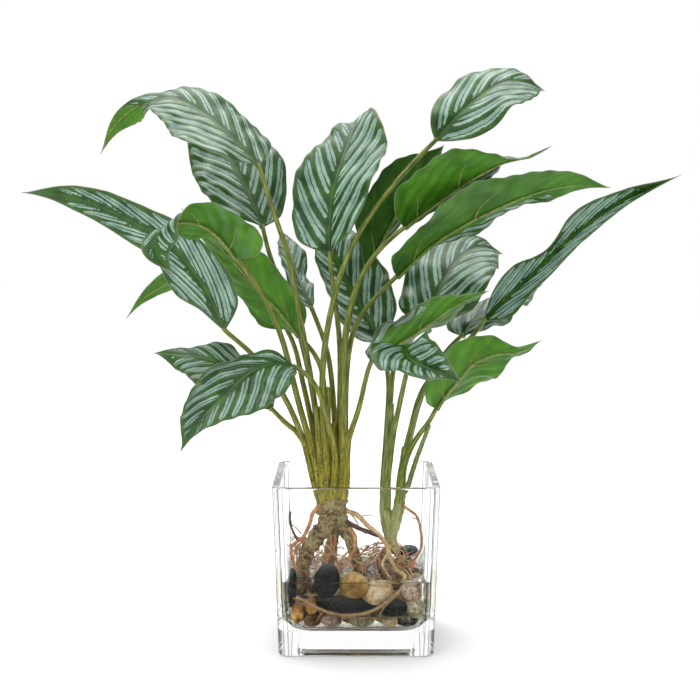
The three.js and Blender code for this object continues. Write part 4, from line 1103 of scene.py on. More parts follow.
def stone(name, kind, at, half, roll, seed):
    """A rounded, slightly uneven pebble."""
    ball = bpy.data.meshes.new(name)
    shape = bmesh.new()
    bmesh.ops.create_icosphere(shape, subdivisions=4, radius=1.0)
    turn = math.radians(roll)
    for corner in shape.verts:
        x, y, z = corner.co
        # Broad bulges, and shallow dents a third as wide
        bump = 1.05 + 0.05 * math.sin(3 * x + seed) * math.cos(2 * z - seed)
        bump += 0.04 * math.sin(2 * y + 2 * seed)
        bump += 0.012 * math.sin(7 * x + 2 * seed) * math.sin(6 * z + 5 * y)
        px, py, pz = (value * size * bump for value, size in zip((x, y, z), half))
        corner.co = (
            (at[0] + px * math.cos(turn) + pz * math.sin(turn)) * MM,
            (at[1] + py) * MM,
            (at[2] - px * math.sin(turn) + pz * math.cos(turn)) * MM,
        )
    shape.to_mesh(ball)
    shape.free()
    ball.materials.append(pebble_skins[kind])
    ball.polygons.foreach_set("use_smooth", [True] * len(ball.polygons))
    thing = bpy.data.objects.new(name, ball)
    bpy.context.scene.collection.objects.link(thing)
    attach(thing, "root")
    return thing


# Glass and water

def square_ring(half, radius, z):
    """Points round a square with rounded corners."""
    ring = []
    for corner, (sx, sy) in enumerate(((1, 1), (-1, 1), (-1, -1), (1, -1))):
        for k in range(CORNER_STEPS + 1):
            angle = (corner + k / CORNER_STEPS) * math.pi / 2
            x = sx * (half - radius) + radius * math.cos(angle)
            y = sy * (half - radius) + radius * math.sin(angle)
            ring.append((x, y, z))
    return ring


def outer_half(z):
    """Half the vase's width at a height."""
    return (VASE["foot_width"] + (VASE["rim_width"] - VASE["foot_width"]) * z / VASE["height"]) / 2


def cavity_rings(heights, clear):
    """Rings of the vase's inside from the heights down to its rounded floor, inset by clear."""
    rings = []
    springing = VASE["floor"] + VASE["cavity_radius"]
    corner = VASE["edge_radius"] - VASE["wall"] / 2
    for z in (*heights, springing):
        rings.append(square_ring(outer_half(z) - VASE["wall"] - clear, corner, z))
    reach = VASE["cavity_radius"] - clear
    for k in range(1, FLOOR_STEPS + 1):
        angle = k / FLOOR_STEPS * math.pi / 2
        inset = reach * (1 - math.cos(angle))
        half = outer_half(springing) - VASE["wall"] - clear - inset
        z = springing - reach * math.sin(angle)
        rings.append(square_ring(half, corner + inset * CORNER_GROWTH, z))
    return rings


def ring_skin(name, rings, finish, node):
    """A closed body from rings, with flat ends."""
    count = len(rings[0])
    points = np.array(rings).reshape(-1, 3)
    faces = grid_faces(len(rings), count, closed=True)
    faces.append(tuple(range(count - 1, -1, -1)))
    last = (len(rings) - 1) * count
    faces.append(tuple(range(last, last + count)))
    thing = piece(name, points, faces, [finish])
    thing.data.set_sharp_from_angle(angle=math.radians(40))
    even = thing.modifiers.new("even_walls", "WEIGHTED_NORMAL")
    even.keep_sharp = True
    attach(thing, "root")
    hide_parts(node)


def vase_rings():
    """Rings from the recess under the foot, up the outside, over the rim and down the inside."""
    recess, rounded, deep = VASE["recess_width"] / 2, VASE["recess_radius"], VASE["recess_depth"]
    height, wall, corner = VASE["height"], VASE["wall"], VASE["edge_radius"]
    rings = []
    for inset, z in ((1.6, deep), (0.6, deep - 0.4), (0.1, deep - 1.4), (0, 0.4), (-0.4, 0)):
        rings.append(square_ring(recess - inset, rounded - inset, z))
    foot = VASE["foot_round"]
    for k in range(FOOT_STEPS + 1):
        angle = k / FOOT_STEPS * math.pi / 2
        z = foot * (1 - math.cos(angle))
        inset = foot * (1 - math.sin(angle))
        rings.append(square_ring(outer_half(z) - inset, corner - inset, z))
    for z in (30, 60, 90, 110):
        rings.append(square_ring(outer_half(z), corner, z))
    lip = VASE["rim_round"]
    for k in range(LIP_STEPS + 1):
        angle = k / LIP_STEPS * math.pi / 2
        z = height - lip * (1 - math.sin(angle))
        inset = lip * (1 - math.cos(angle))
        rings.append(square_ring(outer_half(z) - inset, corner - inset, z))
    inner = corner - wall / 2
    for k in range(LIP_STEPS + 1):
        angle = k / LIP_STEPS * math.pi / 2
        z = height - lip * (1 - math.cos(angle))
        spread = lip * (1 - math.sin(angle))
        rings.append(square_ring(outer_half(z) - wall + spread, inner + spread, z))
    rings.extend(cavity_rings((110, 80, 50), 0))
    return rings


def water_rings():
    """Rings of the water's body, from the cavity's floor up its side and over its surface."""
    corner = VASE["edge_radius"] - VASE["wall"] / 2
    rings = []
    for inset, climb in WATER_CLIMB:
        half = outer_half(WATER_LEVEL) - VASE["wall"] + WATER_LAP - inset
        rings.append(square_ring(half, corner + inset * CORNER_GROWTH, WATER_LEVEL + climb))
    rings.extend(cavity_rings((WATER_LEVEL - 8,), -WATER_LAP))
    return rings[::-1]


# Stems. Stalks: the leaf that each carries, and its points from the crown to the blade

MAIN_STALKS = {
    "leaf_upper_left_arch": ((-27, 6, 116), (-29, 7, 152), (-32, 8, 183), (-37, 5, 213),
        (-42, 0, 244), (-51, -7, 295), (-66, -2, 337)),
    "leaf_upper_left_back": ((-25, 9, 116), (-29, 13, 159), (-39, 27, 213), (-53, 39, 260),
        (-67, 43, 288)),
    "leaf_long_left": ((-32, -4, 118), (-39, -6, 151), (-44, -7, 164), (-55, -8, 189),
        (-71, -12, 212), (-82, -16, 225)),
    "leaf_low_left_lance": ((-39, -6, 151), (-46, -6, 161), (-54, -4, 167)),
    "leaf_front_left_curl": ((-28, -9, 119), (-32, -8, 143), (-40, -6, 168), (-46, -5, 191),
        (-52, -6, 217), (-58, -12, 239), (-71, -28, 270)),
    "leaf_left_underside": ((-22, 1, 117), (-22, 2, 153), (-24, 3, 184), (-25, 6, 201),
        (-28, 10, 213), (-34, 13, 222)),
    "leaf_low_left_back": ((-27, 1, 122), (-30, 3, 141), (-34, 6, 164), (-38, 10, 183),
        (-43, 18, 203), (-47, 28, 221)),
    "leaf_front_low_left": ((-17, -11, 119), (-16, -14, 148), (-20, -16, 163), (-23, -17, 177),
        (-27, -17, 190), (-33, -16, 202)),
    "leaf_centre_tall": ((-15, 2, 117), (-13, 1, 161), (-12, 0, 207), (-13, -1, 238),
        (-18, -4, 273)),
    "leaf_narrow_middle": ((-17, 5, 116), (-16, 8, 153), (-17, 10, 173), (-18, 12, 190),
        (-20, 14, 209), (-23, 16, 225), (-29, 18, 240)),
    "leaf_top_right": ((-23, -7, 119), (-24, -9, 155), (-26, -12, 186), (-26, -13, 210),
        (-24, -14, 229), (-20, -15, 250), (-12, -17, 283), (1, -19, 313), (15, -20, 332),
        (41, -19, 364)),
    "leaf_dark_right_back": ((-12, 6, 116), (-11, 10, 152), (-10, 15, 182), (-9, 22, 220),
        (-5, 26, 247), (1, 32, 271)),
    "leaf_upper_right": ((-12, -6, 118), (-11, -8, 154), (-10, -9, 194), (-9, -11, 232),
        (-7, -13, 249), (1, -16, 276), (15, -19, 299)),
    "leaf_right_wavy": ((-9, -2, 118), (-8, -3, 185), (-7, -3, 210), (-3, -2, 238), (2, -1, 248),
        (15, 1, 264)),
    "leaf_middle_rolled": ((-7, -3, 118), (-7, -5, 147), (-5, -6, 158), (-2, -7, 166), (3, -8, 181),
        (6, -9, 196)),
}

# Sheaths that wrap the stalks' feet; the real ones end in a cut edge, and these close in a blunt
# point: points, and radii from foot to top
MAIN_SHEATHS = [
    (((-20, -5, 104), (-22, -8, 120), (-22, -8, 160), (-21.5, -7, 194)), (3.4, 3.3, 2.8, 2.3)),
    (((-22, -6, 104), (-25, -9, 120), (-28, -9, 150), (-30, -8, 180)), (3.2, 3.0, 2.6, 2.0)),
    (((-21, -2, 102), (-22, -3, 120), (-23, -3, 145), (-25, -3, 172)), (5.4, 5.2, 4.2, 2.4)),
    (((-15, -2, 102), (-15, -3, 120), (-16, -3, 142), (-17, -2, 166)), (5.0, 4.8, 3.8, 2.2)),
    (((-12, -3, 102), (-9, -5, 120), (-9, -6, 150), (-9.4, -7, 177)), (3.2, 3.0, 2.8, 2.2)),
    (((-11, -3, 102), (-7.5, -4, 120), (-7, -5, 140), (-5.5, -6, 159)), (3.2, 3.0, 2.7, 2.3)),
]

# The crown, its legs and the larger roots: points, and radii spread evenly along them
MAIN_ROOTS = {
    "crown": (((-19, -1, 121), (-19, -1, 114), (-19, -1, 106), (-18, 0, 98), (-18, 0, 90)),
        (4, 7.5, 11.8, 12, 10)),
    "left leg": (((-19, -1, 95), (-25, -3, 85), (-32, -7, 77), (-38, -10, 67), (-41, -13, 56),
        (-41, -14, 44)), (8, 4.5)),
    "right leg": (((-12, 0, 93), (-8, -1, 83), (-3, -2, 72), (1, -3, 58), (4, -4, 42)), (5.5, 3)),
    "middle leg": (((-15, 3, 92), (-17, 5, 70), (-19, 6, 54), (-20, 6, 34)), (3.6, 2)),
    "back leg": (((-17, 5, 93), (-19, 14, 74), (-24, 22, 54), (-26, 25, 36)), (4.5, 2.2)),
    "left loop": (((-28, -8, 104), (-33, -11, 99), (-35, -13, 92), (-40, -17, 82), (-46, -20, 78),
        (-49, -23, 74), (-48, -25, 65), (-44, -26, 57)), (1.7, 1.1)),
    "upright tip": (((-44, -19, 79), (-48, -18, 86), (-50, -17, 94), (-50, -16, 101)), (1.0, 0.6)),
    "front root": (((-5, -5, 86), (-1, -9, 80), (-1, -13, 72), (-6, -17, 64), (-12, -21, 57),
        (-16, -25, 48)), (1.9, 1.3)),
    "long root": (((-7, -4, 99), (1, -8, 97), (8, -11, 90), (16, -14, 84), (23, -18, 76),
        (26, -22, 67), (30, -27, 59), (36, -31, 56), (36, -35, 51), (32, -41, 46), (25, -48, 41),
        (16, -50, 35), (4, -50.5, 31), (-10, -50.5, 30), (-23, -50.5, 33), (-35, -50, 39),
        (-44, -48, 43)), (1.9, 1.1)),
    "dark root": (((-10, -3, 92), (-1, -8, 88), (8, -12, 85), (17, -15, 82)), (2.1, 1.5)),
    "drop root": (((25, -20, 71), (20, -24, 63), (22, -27, 58), (26, -29, 52)), (1.2, 0.9)),
}

SIDE_STALKS = {
    "leaf_back_middle": ((21, 11, 115), (23, 14, 143), (25, 20, 174), (26, 26, 193), (24, 32, 209)),
    "leaf_middle_right": ((23, 9, 116), (25, 11, 152), (27, 14, 183), (28, 17, 199), (31, 20, 215),
        (41, 23, 229)),
    "leaf_front_right": ((24, 4, 117), (27, 0, 144), (29, -4, 162), (32, -9, 176), (35, -16, 193),
        (38, -24, 208), (39, -32, 221)),
    "leaf_long_right": ((33, 5, 116), (36, 3, 136), (39, 2, 148), (42, 1, 160), (46, 0, 178),
        (50, 0, 192), (61, 1, 206), (78, 2, 223), (92, 3, 235)),
    "leaf_back_right": ((35, 10, 116), (39, 13, 139), (44, 17, 159), (50, 23, 181), (63, 29, 208),
        (77, 33, 226)),
    "leaf_low_right_underside": ((36, 2, 126), (40, -1, 142), (45, -4, 153), (50, -6, 161),
        (55, -8, 167)),
}

SIDE_SHEATHS = [
    (((24, 7, 104), (24, 6, 120), (26, 6, 150), (27.5, 8, 180)), (3.4, 3.2, 2.7, 2.1)),
    (((34, 5, 104), (35, 4, 117), (36.5, 3, 132), (38, 2, 147)), (3.6, 3.5, 3.2, 2.8)),
]

SIDE_ROOTS = {
    "second stem": (((37, 2, 112), (40, 0, 117), (44, -3, 131), (48, -6, 144), (52, -8, 155),
        (56, -8.5, 166)), (2.2, 1.6)),
    "left trunk": (((23, 8, 118), (23, 8, 105), (23, 8, 95), (25, 7, 85), (27, 6, 76), (30, 5, 66)),
        (3.0, 4.8, 5.2, 4.8)),
    "right trunk": (((35, 6, 118), (34, 6, 105), (32, 6, 94), (29, 6, 84), (27, 6, 76)),
        (3.0, 4.6, 5.0, 4.8)),
    "right root": (((36, 3, 102), (42, -3, 99), (47, -9, 95), (50, -15, 82), (49, -19, 72),
        (45, -22, 66), (41, -24, 60)), (1.2, 0.9)),
    "foot a": (((29, 6, 70), (33, 2, 62), (35, -2, 53), (33, -6, 42)), (2.6, 1.4)),
    "foot b": (((27, 7, 71), (22, 12, 63), (18, 14, 54), (17, 16, 38)), (2.4, 1.3)),
    "foot c": (((30, 7, 69), (33, 12, 60), (33, 17, 50), (31, 20, 38)), (2.2, 1.3)),
}

# The larger stems above that aren't tan roots
SKIN_OF = {
    "crown": "trunk", "left leg": "trunk", "right leg": "trunk", "middle leg": "trunk",
    "back leg": "trunk", "second stem": "trunk", "left trunk": "trunk", "right trunk": "trunk",
    "left loop": "red_roots", "front root": "red_roots", "right root": "red_roots",
    "upright tip": "dark_roots", "dark root": "dark_roots",
}

# Thin roots seen in the vase: points, and the radii at both ends. Those that start left or
# right of these x are red, and the ones between are tan
RED_OUTSIDE = (-15, 40)
FINE_ROOTS = [
    (((0, -8, 95), (7, -6, 96), (18, 0, 94)), (0.5, 0.3)),
    (((-6, -6, 99), (-1, -8, 94), (3, -10, 87), (7, -12, 83)), (0.8, 0.5)),
    (((-2, -6, 97), (6, -8, 91), (14, -12, 87), (17, -14, 81)), (0.7, 0.5)),
    (((-49, -12, 90), (-45, -12, 87), (-42, -12, 83)), (0.4, 0.6)),
    (((-51, -12, 109), (-51, -12, 100), (-51, -12, 92), (-48, -14, 85), (-44, -16, 80)),
        (0.3, 0.7)),
    (((-50, -16, 81), (-46, -18, 82), (-41, -18, 81)), (0.3, 0.6)),
    (((-44, -20, 79), (-48, -24, 77), (-50, -26, 71), (-50, -28, 62)), (0.9, 0.5)),
    (((-38, -16, 81), (-42, -22, 78), (-46, -24, 75), (-47, -26, 67)), (0.9, 0.4)),
    (((-27, -12, 68), (-31, -18, 66), (-31, -22, 61), (-26, -24, 59)), (0.6, 0.3)),
    (((-20, -8, 82), (-19, -12, 74), (-21, -16, 66), (-23, -20, 61)), (1.3, 0.8)),
    (((-25, -14, 68), (-23, -18, 62), (-24, -20, 58)), (1.2, 0.6)),
    (((-16, -6, 79), (-17, -10, 69), (-14, -14, 61), (-11, -18, 56)), (1.4, 0.8)),
    (((-6, -20, 71), (-10, -22, 67), (-14, -24, 62), (-18, -26, 58)), (0.8, 0.4)),
    (((-4, -18, 66), (-6, -20, 61), (-12, -24, 58), (-11, -28, 51)), (0.7, 0.4)),
    (((23, -20, 66), (20, -22, 62), (21, -24, 57), (26, -26, 53)), (0.6, 0.4)),
    (((28, -18, 73), (36, -20, 71), (35, -20, 66), (30, -22, 68)), (0.4, 0.3)),
    (((25, -16, 75), (29, -18, 71), (32, -20, 67), (38, -22, 62)), (0.6, 0.4)),
    (((18, -14, 68), (25, -18, 66), (35, -22, 63), (43, -24, 62)), (0.6, 0.3)),
    (((38, -30, 59), (40, -32, 55), (41, -34, 51)), (0.7, 0.4)),
    (((40, -28, 60), (42, -30, 56), (40, -34, 53)), (0.7, 0.4)),
    (((43, -14, 96), (47, -16, 95), (48, -16, 96)), (0.6, 0.3)),
    (((47, -18, 67), (42, -22, 63), (38, -26, 60)), (0.8, 0.4)),
    (((44, -20, 66), (44, -24, 62), (40, -28, 58)), (0.8, 0.4)),
    (((-11, -50.7, 28), (7, -51, 28), (24, -51, 27), (35, -50.5, 29)), (0.7, 0.4)),
    (((-32, -50, 41), (-29, -50.8, 35), (-26, -50.8, 31)), (0.5, 0.3)),
    (((-25, -50.8, 32), (-28, -50.6, 28), (-30, -49.5, 24)), (0.8, 0.5)),
    (((-47, -48, 43), (-39, -50, 38), (-29, -51, 35), (-22, -51, 32)), (0.5, 0.7)),
    (((17, -51, 29), (20, -50.6, 35), (26, -48.6, 41), (32, -46, 48)), (0.6, 0.8)),
    (((-38, -48, 42), (-32, -50, 37), (-31, -50.4, 33)), (0.5, 0.3)),
]

# Where short curly roots grow in tufts: middle, spread, how many, and their length
ROOT_TUFTS = [
    ((16, -10, 68), (9, 6, 7), 44, 17), ((30, -14, 62), (9, 6, 4), 34, 16),
    ((-44, -18, 74), (4, 5, 8), 22, 15), ((-22, -10, 70), (8, 6, 7), 26, 15),
    ((2, -8, 60), (9, 7, 5), 30, 15), ((-38, -14, 54), (7, 6, 5), 20, 12),
    ((28, 8, 56), (9, 9, 5), 20, 14), ((-20, 8, 52), (10, 8, 6), 16, 13),
]

# The river stones of the CAD model: kind, middle, half sizes and roll in degrees
STONES = {
    "tall_black": ("black", (-48.6, -38, 48), (4, 8, 13.8), 3),
    "black_drop": ("black", (-22, -40.6, 54), (9.2, 7.5, 11.5), 8),
    "tan": ("tan", (-1.5, -40, 50), (10.3, 8, 9.7), -6),
    "flat_black": ("black", (-8, -41, 36.5), (23.5, 7, 6), 4),
    "cream": ("cream", (16, -39.5, 44), (11.6, 7.5, 7.6), -28),
    "black_right": ("black", (28, -40.5, 33.5), (10.5, 7.5, 6.2), -10),
    "pinkish": ("pink", (41.5, -40, 46), (7.7, 7.5, 7), 10),
    "beige_grey": ("grey", (44.5, -40, 33.5), (7.2, 7.5, 7.2), -35),
    "speckled": ("speckled", (38, -36, 22.8), (8.3, 7, 5.4), 0),
    "small_cream": ("cream", (25.5, -39, 22.4), (5.8, 6, 4.6), 0),
    "grey_tan": ("grey", (4, -37.5, 23.4), (9, 7.5, 6), 0),
    "brown_grey": ("pink", (-18.5, -37.5, 23), (7.4, 7, 5.6), 4),
    "amber": ("amber", (-44, -34.5, 28), (5.6, 8, 8.5), 6),
    "orange": ("amber", (-33.5, -40.5, 35), (4.6, 6, 6), -8),
    "dark_brown": ("brown", (-33, -36, 23), (6.2, 7, 5.8), 0),
    "blue_black": ("blue", (41, 22, 61.5), (8, 7, 5.2), -12),
    "right_a": ("grey", (40.6, -20, 25.4), (8, 9, 7), 12),
    "right_b": ("black", (40.6, 1, 25.2), (8.2, 11, 6.6), 4),
    "right_c": ("brown", (40, 23.5, 25.8), (9, 11, 7.4), 10),
    "right_d": ("cream", (44.4, -12, 38.5), (7, 10, 6.2), -8),
    "right_e": ("brown", (44.2, 9, 38.8), (7.5, 10, 6.6), 6),
    "right_f": ("grey", (42, 24, 45.5), (8.5, 10, 10.4), 0),
    "left_a": ("brown", (-41, -15, 25.4), (8, 10, 7), -10),
    "left_b": ("black", (-40.4, 7, 25.9), (8.4, 11, 7.4), -4),
    "left_c": ("cream", (-40.2, 28.5, 25.5), (9, 10, 7.2), -8),
    "left_d": ("brown", (-44.3, 15.5, 40.2), (7.4, 11, 7), 8),
    "left_e": ("black", (-38.5, 38, 39.3), (10, 8, 7.6), 0),
    "back_a": ("brown", (-17, 42, 25.2), (12, 8, 7), 5),
    "back_b": ("cream", (7, 41, 25), (11, 8, 6.6), -5),
    "back_c": ("black", (27.5, 41, 29.5), (9, 8, 7), 20),
    "back_d": ("cream", (-13.5, 43.2, 39.3), (11, 7.5, 6.8), -6),
    "back_e": ("grey", (10, 43.2, 39.6), (12, 7.5, 7.4), 4),
}


# The object

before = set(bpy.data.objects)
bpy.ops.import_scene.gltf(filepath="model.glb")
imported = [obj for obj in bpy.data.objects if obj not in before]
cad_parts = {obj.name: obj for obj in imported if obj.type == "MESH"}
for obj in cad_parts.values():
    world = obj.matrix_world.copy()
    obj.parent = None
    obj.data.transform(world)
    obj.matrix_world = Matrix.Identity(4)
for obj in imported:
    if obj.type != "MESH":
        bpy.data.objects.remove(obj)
cad_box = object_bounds()
box_mm = [np.array(corner) / MM for corner in cad_box]

leaf_finishes = [striped_leaf_face(), plain_leaf_back(), leaf_rib()]
for seed, leaf in enumerate(LEAVES):
    blade(leaf, seed, leaf_finishes)

# The large clump's stalks turn from olive yellow at the foot to green, with many brown specks.
# The small clump's are green throughout, on a paler trunk. Bark is mossy on the crown and its
# legs, and the roots are rusty, straw-coloured or dark brown
olive_stalk = stem_finish(
    "olive_stalk", [(0.35, 0x6d6410), (0.5, 0x8f8716), (0.65, 0xb0a934)],
    [(0.35, 0x3f4d17), (0.5, 0x626d22), (0.65, 0x888d3c)], 0x35210f, 0.9, (122, 205), 0.42)
green_stalk = stem_finish(
    "green_stalk", [(0.35, 0x4a5c14), (0.5, 0x69781b), (0.65, 0x959c34)],
    [(0.35, 0x435417), (0.5, 0x5f7023), (0.65, 0x8a9340)], 0x35210f, 0.2, (120, 160), 0.4)
trunk_skin = stem_finish(
    "trunk_skin", [(0.35, 0x7d8246), (0.5, 0x939657), (0.65, 0xaead78)],
    [(0.35, 0x3f5820), (0.5, 0x587032), (0.65, 0x7d8a48)], 0x5a4a26, 0.3, (96, 122), 0.45)
mossy_bark = bark_finish(
    "mossy_bark", [(0.4, 0x3a2719), (0.45, 0x6e543a), (0.5, 0x8b7a4d), (0.54, 0x9c955c),
                   (0.58, 0xae987a), (0.64, 0xd3c8ae)], 420.0, 0.5)
red_root = bark_finish(
    "red_root", [(0.36, 0x6b3a26), (0.46, 0x9f6643), (0.55, 0xbd8a62),
                 (0.68, 0xd9b490)], 300.0, 0.3)
tan_root = bark_finish(
    "tan_root", [(0.36, 0x7a5f3e), (0.46, 0xa3855b), (0.55, 0xc2a577),
                 (0.68, 0xe2cba2)], 300.0, 0.3)
dark_root = bark_finish(
    "dark_root", [(0.36, 0x241614), (0.5, 0x4a2f28), (0.65, 0x74564a)], 300.0, 0.3)


def stalk_line(leaf_name, points, heart, drawn_in):
    """The stalk's points, from inside the crown to a little way into its leaf's midrib."""
    rib = next(leaf["rib"] for leaf in LEAVES if leaf["name"] == leaf_name)
    base = np.array(rib[0], float)
    along = unit(np.array(rib[1], float) - base)
    foot = np.array(points[0], float)
    rooted = foot + (heart - foot) * (drawn_in, drawn_in, 0) - (0, 0, ROOTED)
    return [tuple(rooted), *points, tuple(base), tuple(base + along * 2)]


def curly_roots(rng):
    """Short thin roots that wander down from the tufts."""
    found = []
    for middle, spread, number, length in ROOT_TUFTS:
        for _ in range(number):
            spot = np.array(middle) + rng.normal(0, 0.6, 3) * spread
            way = unit(np.array([rng.normal(0, 1.0), rng.normal(-0.2, 0.7), rng.normal(-0.5, 0.5)]))
            line = [spot]
            # The root keeps most of its bend from one step to the next, and sinks a little
            bend = rng.normal(0, 0.5, 3)
            for _ in range(CURLS):
                bend = 0.7 * bend + rng.normal(0, 0.4, 3)
                way = unit(way + 0.5 * bend + (0, 0, -0.08))
                spot = spot + way * length / CURLS
                line.append(spot)
            radius = rng.uniform(0.35, 0.75)
            seed = rng.uniform(0, 9)
            found.append(tube(line, (radius, radius * 0.5), *FINENESS["curly root"], seed))
    return found


def clump(side, stalks, sheaths, roots, stalk_finish, trunk_finish):
    """A plant of the group: its stalks with their sheaths, its trunk and its roots."""
    main = side == "main"
    node = "clump_" + side
    skins = {
        "stalks": stalk_finish, "trunk": trunk_finish, "red_roots": red_root,
        "tan_roots": tan_root, "dark_roots": dark_root,
    }
    tubes = {skin: [] for skin in skins}
    heart = np.mean([points[0] for points in stalks.values()], axis=0)
    for k, (leaf_name, points) in enumerate(stalks.items()):
        line = stalk_line(leaf_name, points, heart, DRAWN_IN[side])
        tubes["stalks"].append(tube(line, STALK_RADII, *FINENESS["stalk"], k + 1.0, eased=24))
    for k, (line, radii) in enumerate(sheaths):
        tubes["stalks"].append(tube(line, radii, *FINENESS["sheath"], k + 31.0))
    for k, (name, (line, radii)) in enumerate(roots.items()):
        trunk = "gnarled" if main else "trunk"
        kind = trunk if radii[0] > THICK else "root"
        root = tube(line, radii, *FINENESS[kind], k + 0.5)
        tubes[SKIN_OF.get(name, "tan_roots")].append(root)
    if main:
        for k, (line, radii) in enumerate(FINE_ROOTS):
            between = RED_OUTSIDE[0] <= line[0][0] <= RED_OUTSIDE[1]
            root = tube(line, radii, *FINENESS["fine root"], k + 0.7)
            tubes["tan_roots" if between else "red_roots"].append(root)
        # One in three of the curly roots is red
        curly = curly_roots(np.random.default_rng(7))
        tubes["red_roots"] += curly[::3]
        tubes["tan_roots"] += curly[1::3] + curly[2::3]
    for skin, parts in tubes.items():
        if parts:
            part = bundle(skin + "_" + side, parts, skins[skin])
            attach(part, "root")
            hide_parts(node)


clump("main", MAIN_STALKS, MAIN_SHEATHS, MAIN_ROOTS, olive_stalk, mossy_bark)
clump("side", SIDE_STALKS, SIDE_SHEATHS, SIDE_ROOTS, green_stalk, trunk_skin)

pebble_skins = {kind: pebble_finish(*values) for kind, values in PEBBLES.items()}
for seed, (name, row) in enumerate(STONES.items()):
    pebble = stone("pebble_" + name, *row, seed)
    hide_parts("stone_" + name)
for seed, row in enumerate(FILL_STONES):
    stone(f"fill_pebble_{seed + 1:02d}", *row, seed + 40)

ring_skin("glass_vase", vase_rings(), soda_lime_glass(), "vase")
ring_skin("standing_water", water_rings(), still_water(), "water")


# The room. Lamps and camera are in metres, as Blender has them

# The paper lies just under the foot, so that the two share no plane: its height and radii in mm
PAPER_LEVEL = -0.6
PAPER_RADII = (400, 1500, 6000)
PAPER_SIDES = 24
# How bright the room is to what it lights, and to what it lights through the vase's glass. A
# lamp's light doesn't pass the glass, so the room makes up for it there
ROOM_LIGHT = 1.08
VASE_LIGHT = 2.35
# Name, place, what it points at, width and power
LAMPS = (
    ("overhead", (-0.2, 0.5, 1.7), (0, 0, 0.25), 1.6, 24.0),
    ("front", (-1.1, -1.6, 1.3), (0, 0, 0.25), 1.2, 8.0),
)
# The photograph's view: place, degrees below level, and focal length and sensor width in mm
VIEW = {"place": (-0.0046, -1.168, 0.330), "down": 5.24, "lens": 78.74, "sensor": 36.0}


def paper_floor():
    """A round sheet of white paper that reaches far behind the vase."""
    turn = np.linspace(0, 2 * math.pi, PAPER_SIDES, endpoint=False)
    level = np.full(PAPER_SIDES, PAPER_LEVEL)
    rings = [np.stack([r * np.cos(turn), r * np.sin(turn), level], axis=1) for r in PAPER_RADII]
    faces = grid_faces(len(rings), PAPER_SIDES, closed=True)
    faces.append(tuple(range(PAPER_SIDES - 1, -1, -1)))
    paper = piece("paper_floor", np.vstack(rings), faces, [matt_white_paper()])


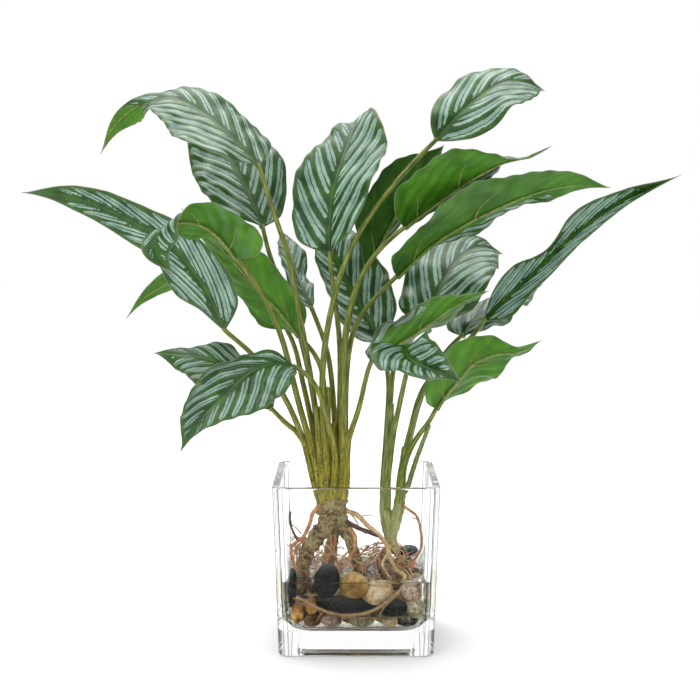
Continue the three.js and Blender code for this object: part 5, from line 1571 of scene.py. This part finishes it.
def studio():
    """A white room with two soft lamps."""
    world = bpy.data.worlds.new("studio")
    bpy.context.scene.world = world
    world.use_nodes = True
    tree = world.node_tree
    tree.nodes.clear()
    way = add(tree, "ShaderNodeTexCoord")
    split = add(tree, "ShaderNodeSeparateXYZ", {"Vector": way.outputs["Generated"]})
    x, y, z = split.outputs
    # The room is white, with greyer walls towards its four corners that draw the glass's edges
    both = add(tree, "ShaderNodeMath", {0: x, 1: y}, operation="MULTIPLY")
    corner = add(tree, "ShaderNodeMath", {0: both.outputs[0]}, operation="ABSOLUTE")
    share = add(tree, "ShaderNodeMapRange", {
        "Value": corner.outputs[0], "From Min": 0.16, "From Max": 0.45,
    }, interpolation_type="SMOOTHSTEP")
    walls = add(tree, "ShaderNodeMix", {
        0: share.outputs[0], 6: linear(0xffffff), 7: linear(0x626262),
    }, data_type="RGBA")
    ray = add(tree, "ShaderNodeLightPath")
    # In mirror images the room is dim at eye level, and bright above and behind the vase
    height = add(tree, "ShaderNodeMapRange", {
        "Value": z, "From Min": 0.1, "From Max": 0.8, "To Min": 0.15, "To Max": 1.1,
    })
    behind = add(tree, "ShaderNodeMapRange", {
        "Value": y, "From Min": 0.5, "From Max": 0.95, "To Max": 1.0,
    })
    mirror = add(tree, "ShaderNodeMath", {0: height.outputs[0], 1: behind.outputs[0]},
                 operation="MAXIMUM")
    through = add(tree, "ShaderNodeMath", {
        0: ray.outputs["Is Glossy Ray"], 1: ray.outputs["Is Transmission Ray"],
    }, operation="SUBTRACT", use_clamp=True)
    mirrored = add(tree, "ShaderNodeMix", {
        0: through.outputs[0], 6: walls.outputs[2], 7: mirror.outputs[0],
    }, data_type="RGBA")
    inside = add(tree, "ShaderNodeMath", {0: ray.outputs["Diffuse Depth"], 1: 1.0},
                 operation="MINIMUM", use_clamp=True)
    lit = add(tree, "ShaderNodeMix", {
        0: inside.outputs[0], 6: mirrored.outputs[2], 7: (*[VASE_LIGHT] * 3, 1.0),
    }, data_type="RGBA")
    fill = add(tree, "ShaderNodeMix", {
        0: ray.outputs["Is Diffuse Ray"], 6: lit.outputs[2], 7: (*[ROOM_LIGHT] * 3, 1.0),
    }, data_type="RGBA")
    plain = add(tree, "ShaderNodeMix", {
        0: ray.outputs["Is Camera Ray"], 6: fill.outputs[2], 7: (1.0, 1.0, 1.0, 1.0),
    }, data_type="RGBA")
    light = add(tree, "ShaderNodeBackground", {"Color": plain.outputs[2], "Strength": 1.0})
    add(tree, "ShaderNodeOutputWorld", {"Surface": light.outputs[0]})

    for name, place, aim, size, power in LAMPS:
        lamp = bpy.data.lights.new(name, "AREA")
        lamp.shape = "SQUARE"
        lamp.size = size
        lamp.energy = power
        thing = bpy.data.objects.new(name, lamp)
        thing.location = place
        thing.rotation_euler = (Vector(aim) - Vector(place)).to_track_quat("-Z", "Y").to_euler()
        bpy.context.scene.collection.objects.link(thing)


def camera():
    """A long lens level with the leaves, looking slightly down."""
    lens = bpy.data.cameras.new("view")
    lens.lens = VIEW["lens"]
    lens.sensor_width = VIEW["sensor"]
    thing = bpy.data.objects.new("view", lens)
    thing.location = VIEW["place"]
    thing.rotation_euler = (math.radians(90 - VIEW["down"]), 0, 0)
    bpy.context.scene.collection.objects.link(thing)
    bpy.context.scene.camera = thing


paper_floor()
studio()
camera()
bpy.context.scene.view_settings.view_transform = "Standard"
# A way through the vase crosses up to eight faces of glass and water, and stones mirror it on
bpy.context.scene.cycles.glossy_bounces = 16
bpy.context.scene.cycles.transmission_bounces = 24
bpy.context.scene.cycles.max_bounces = 32
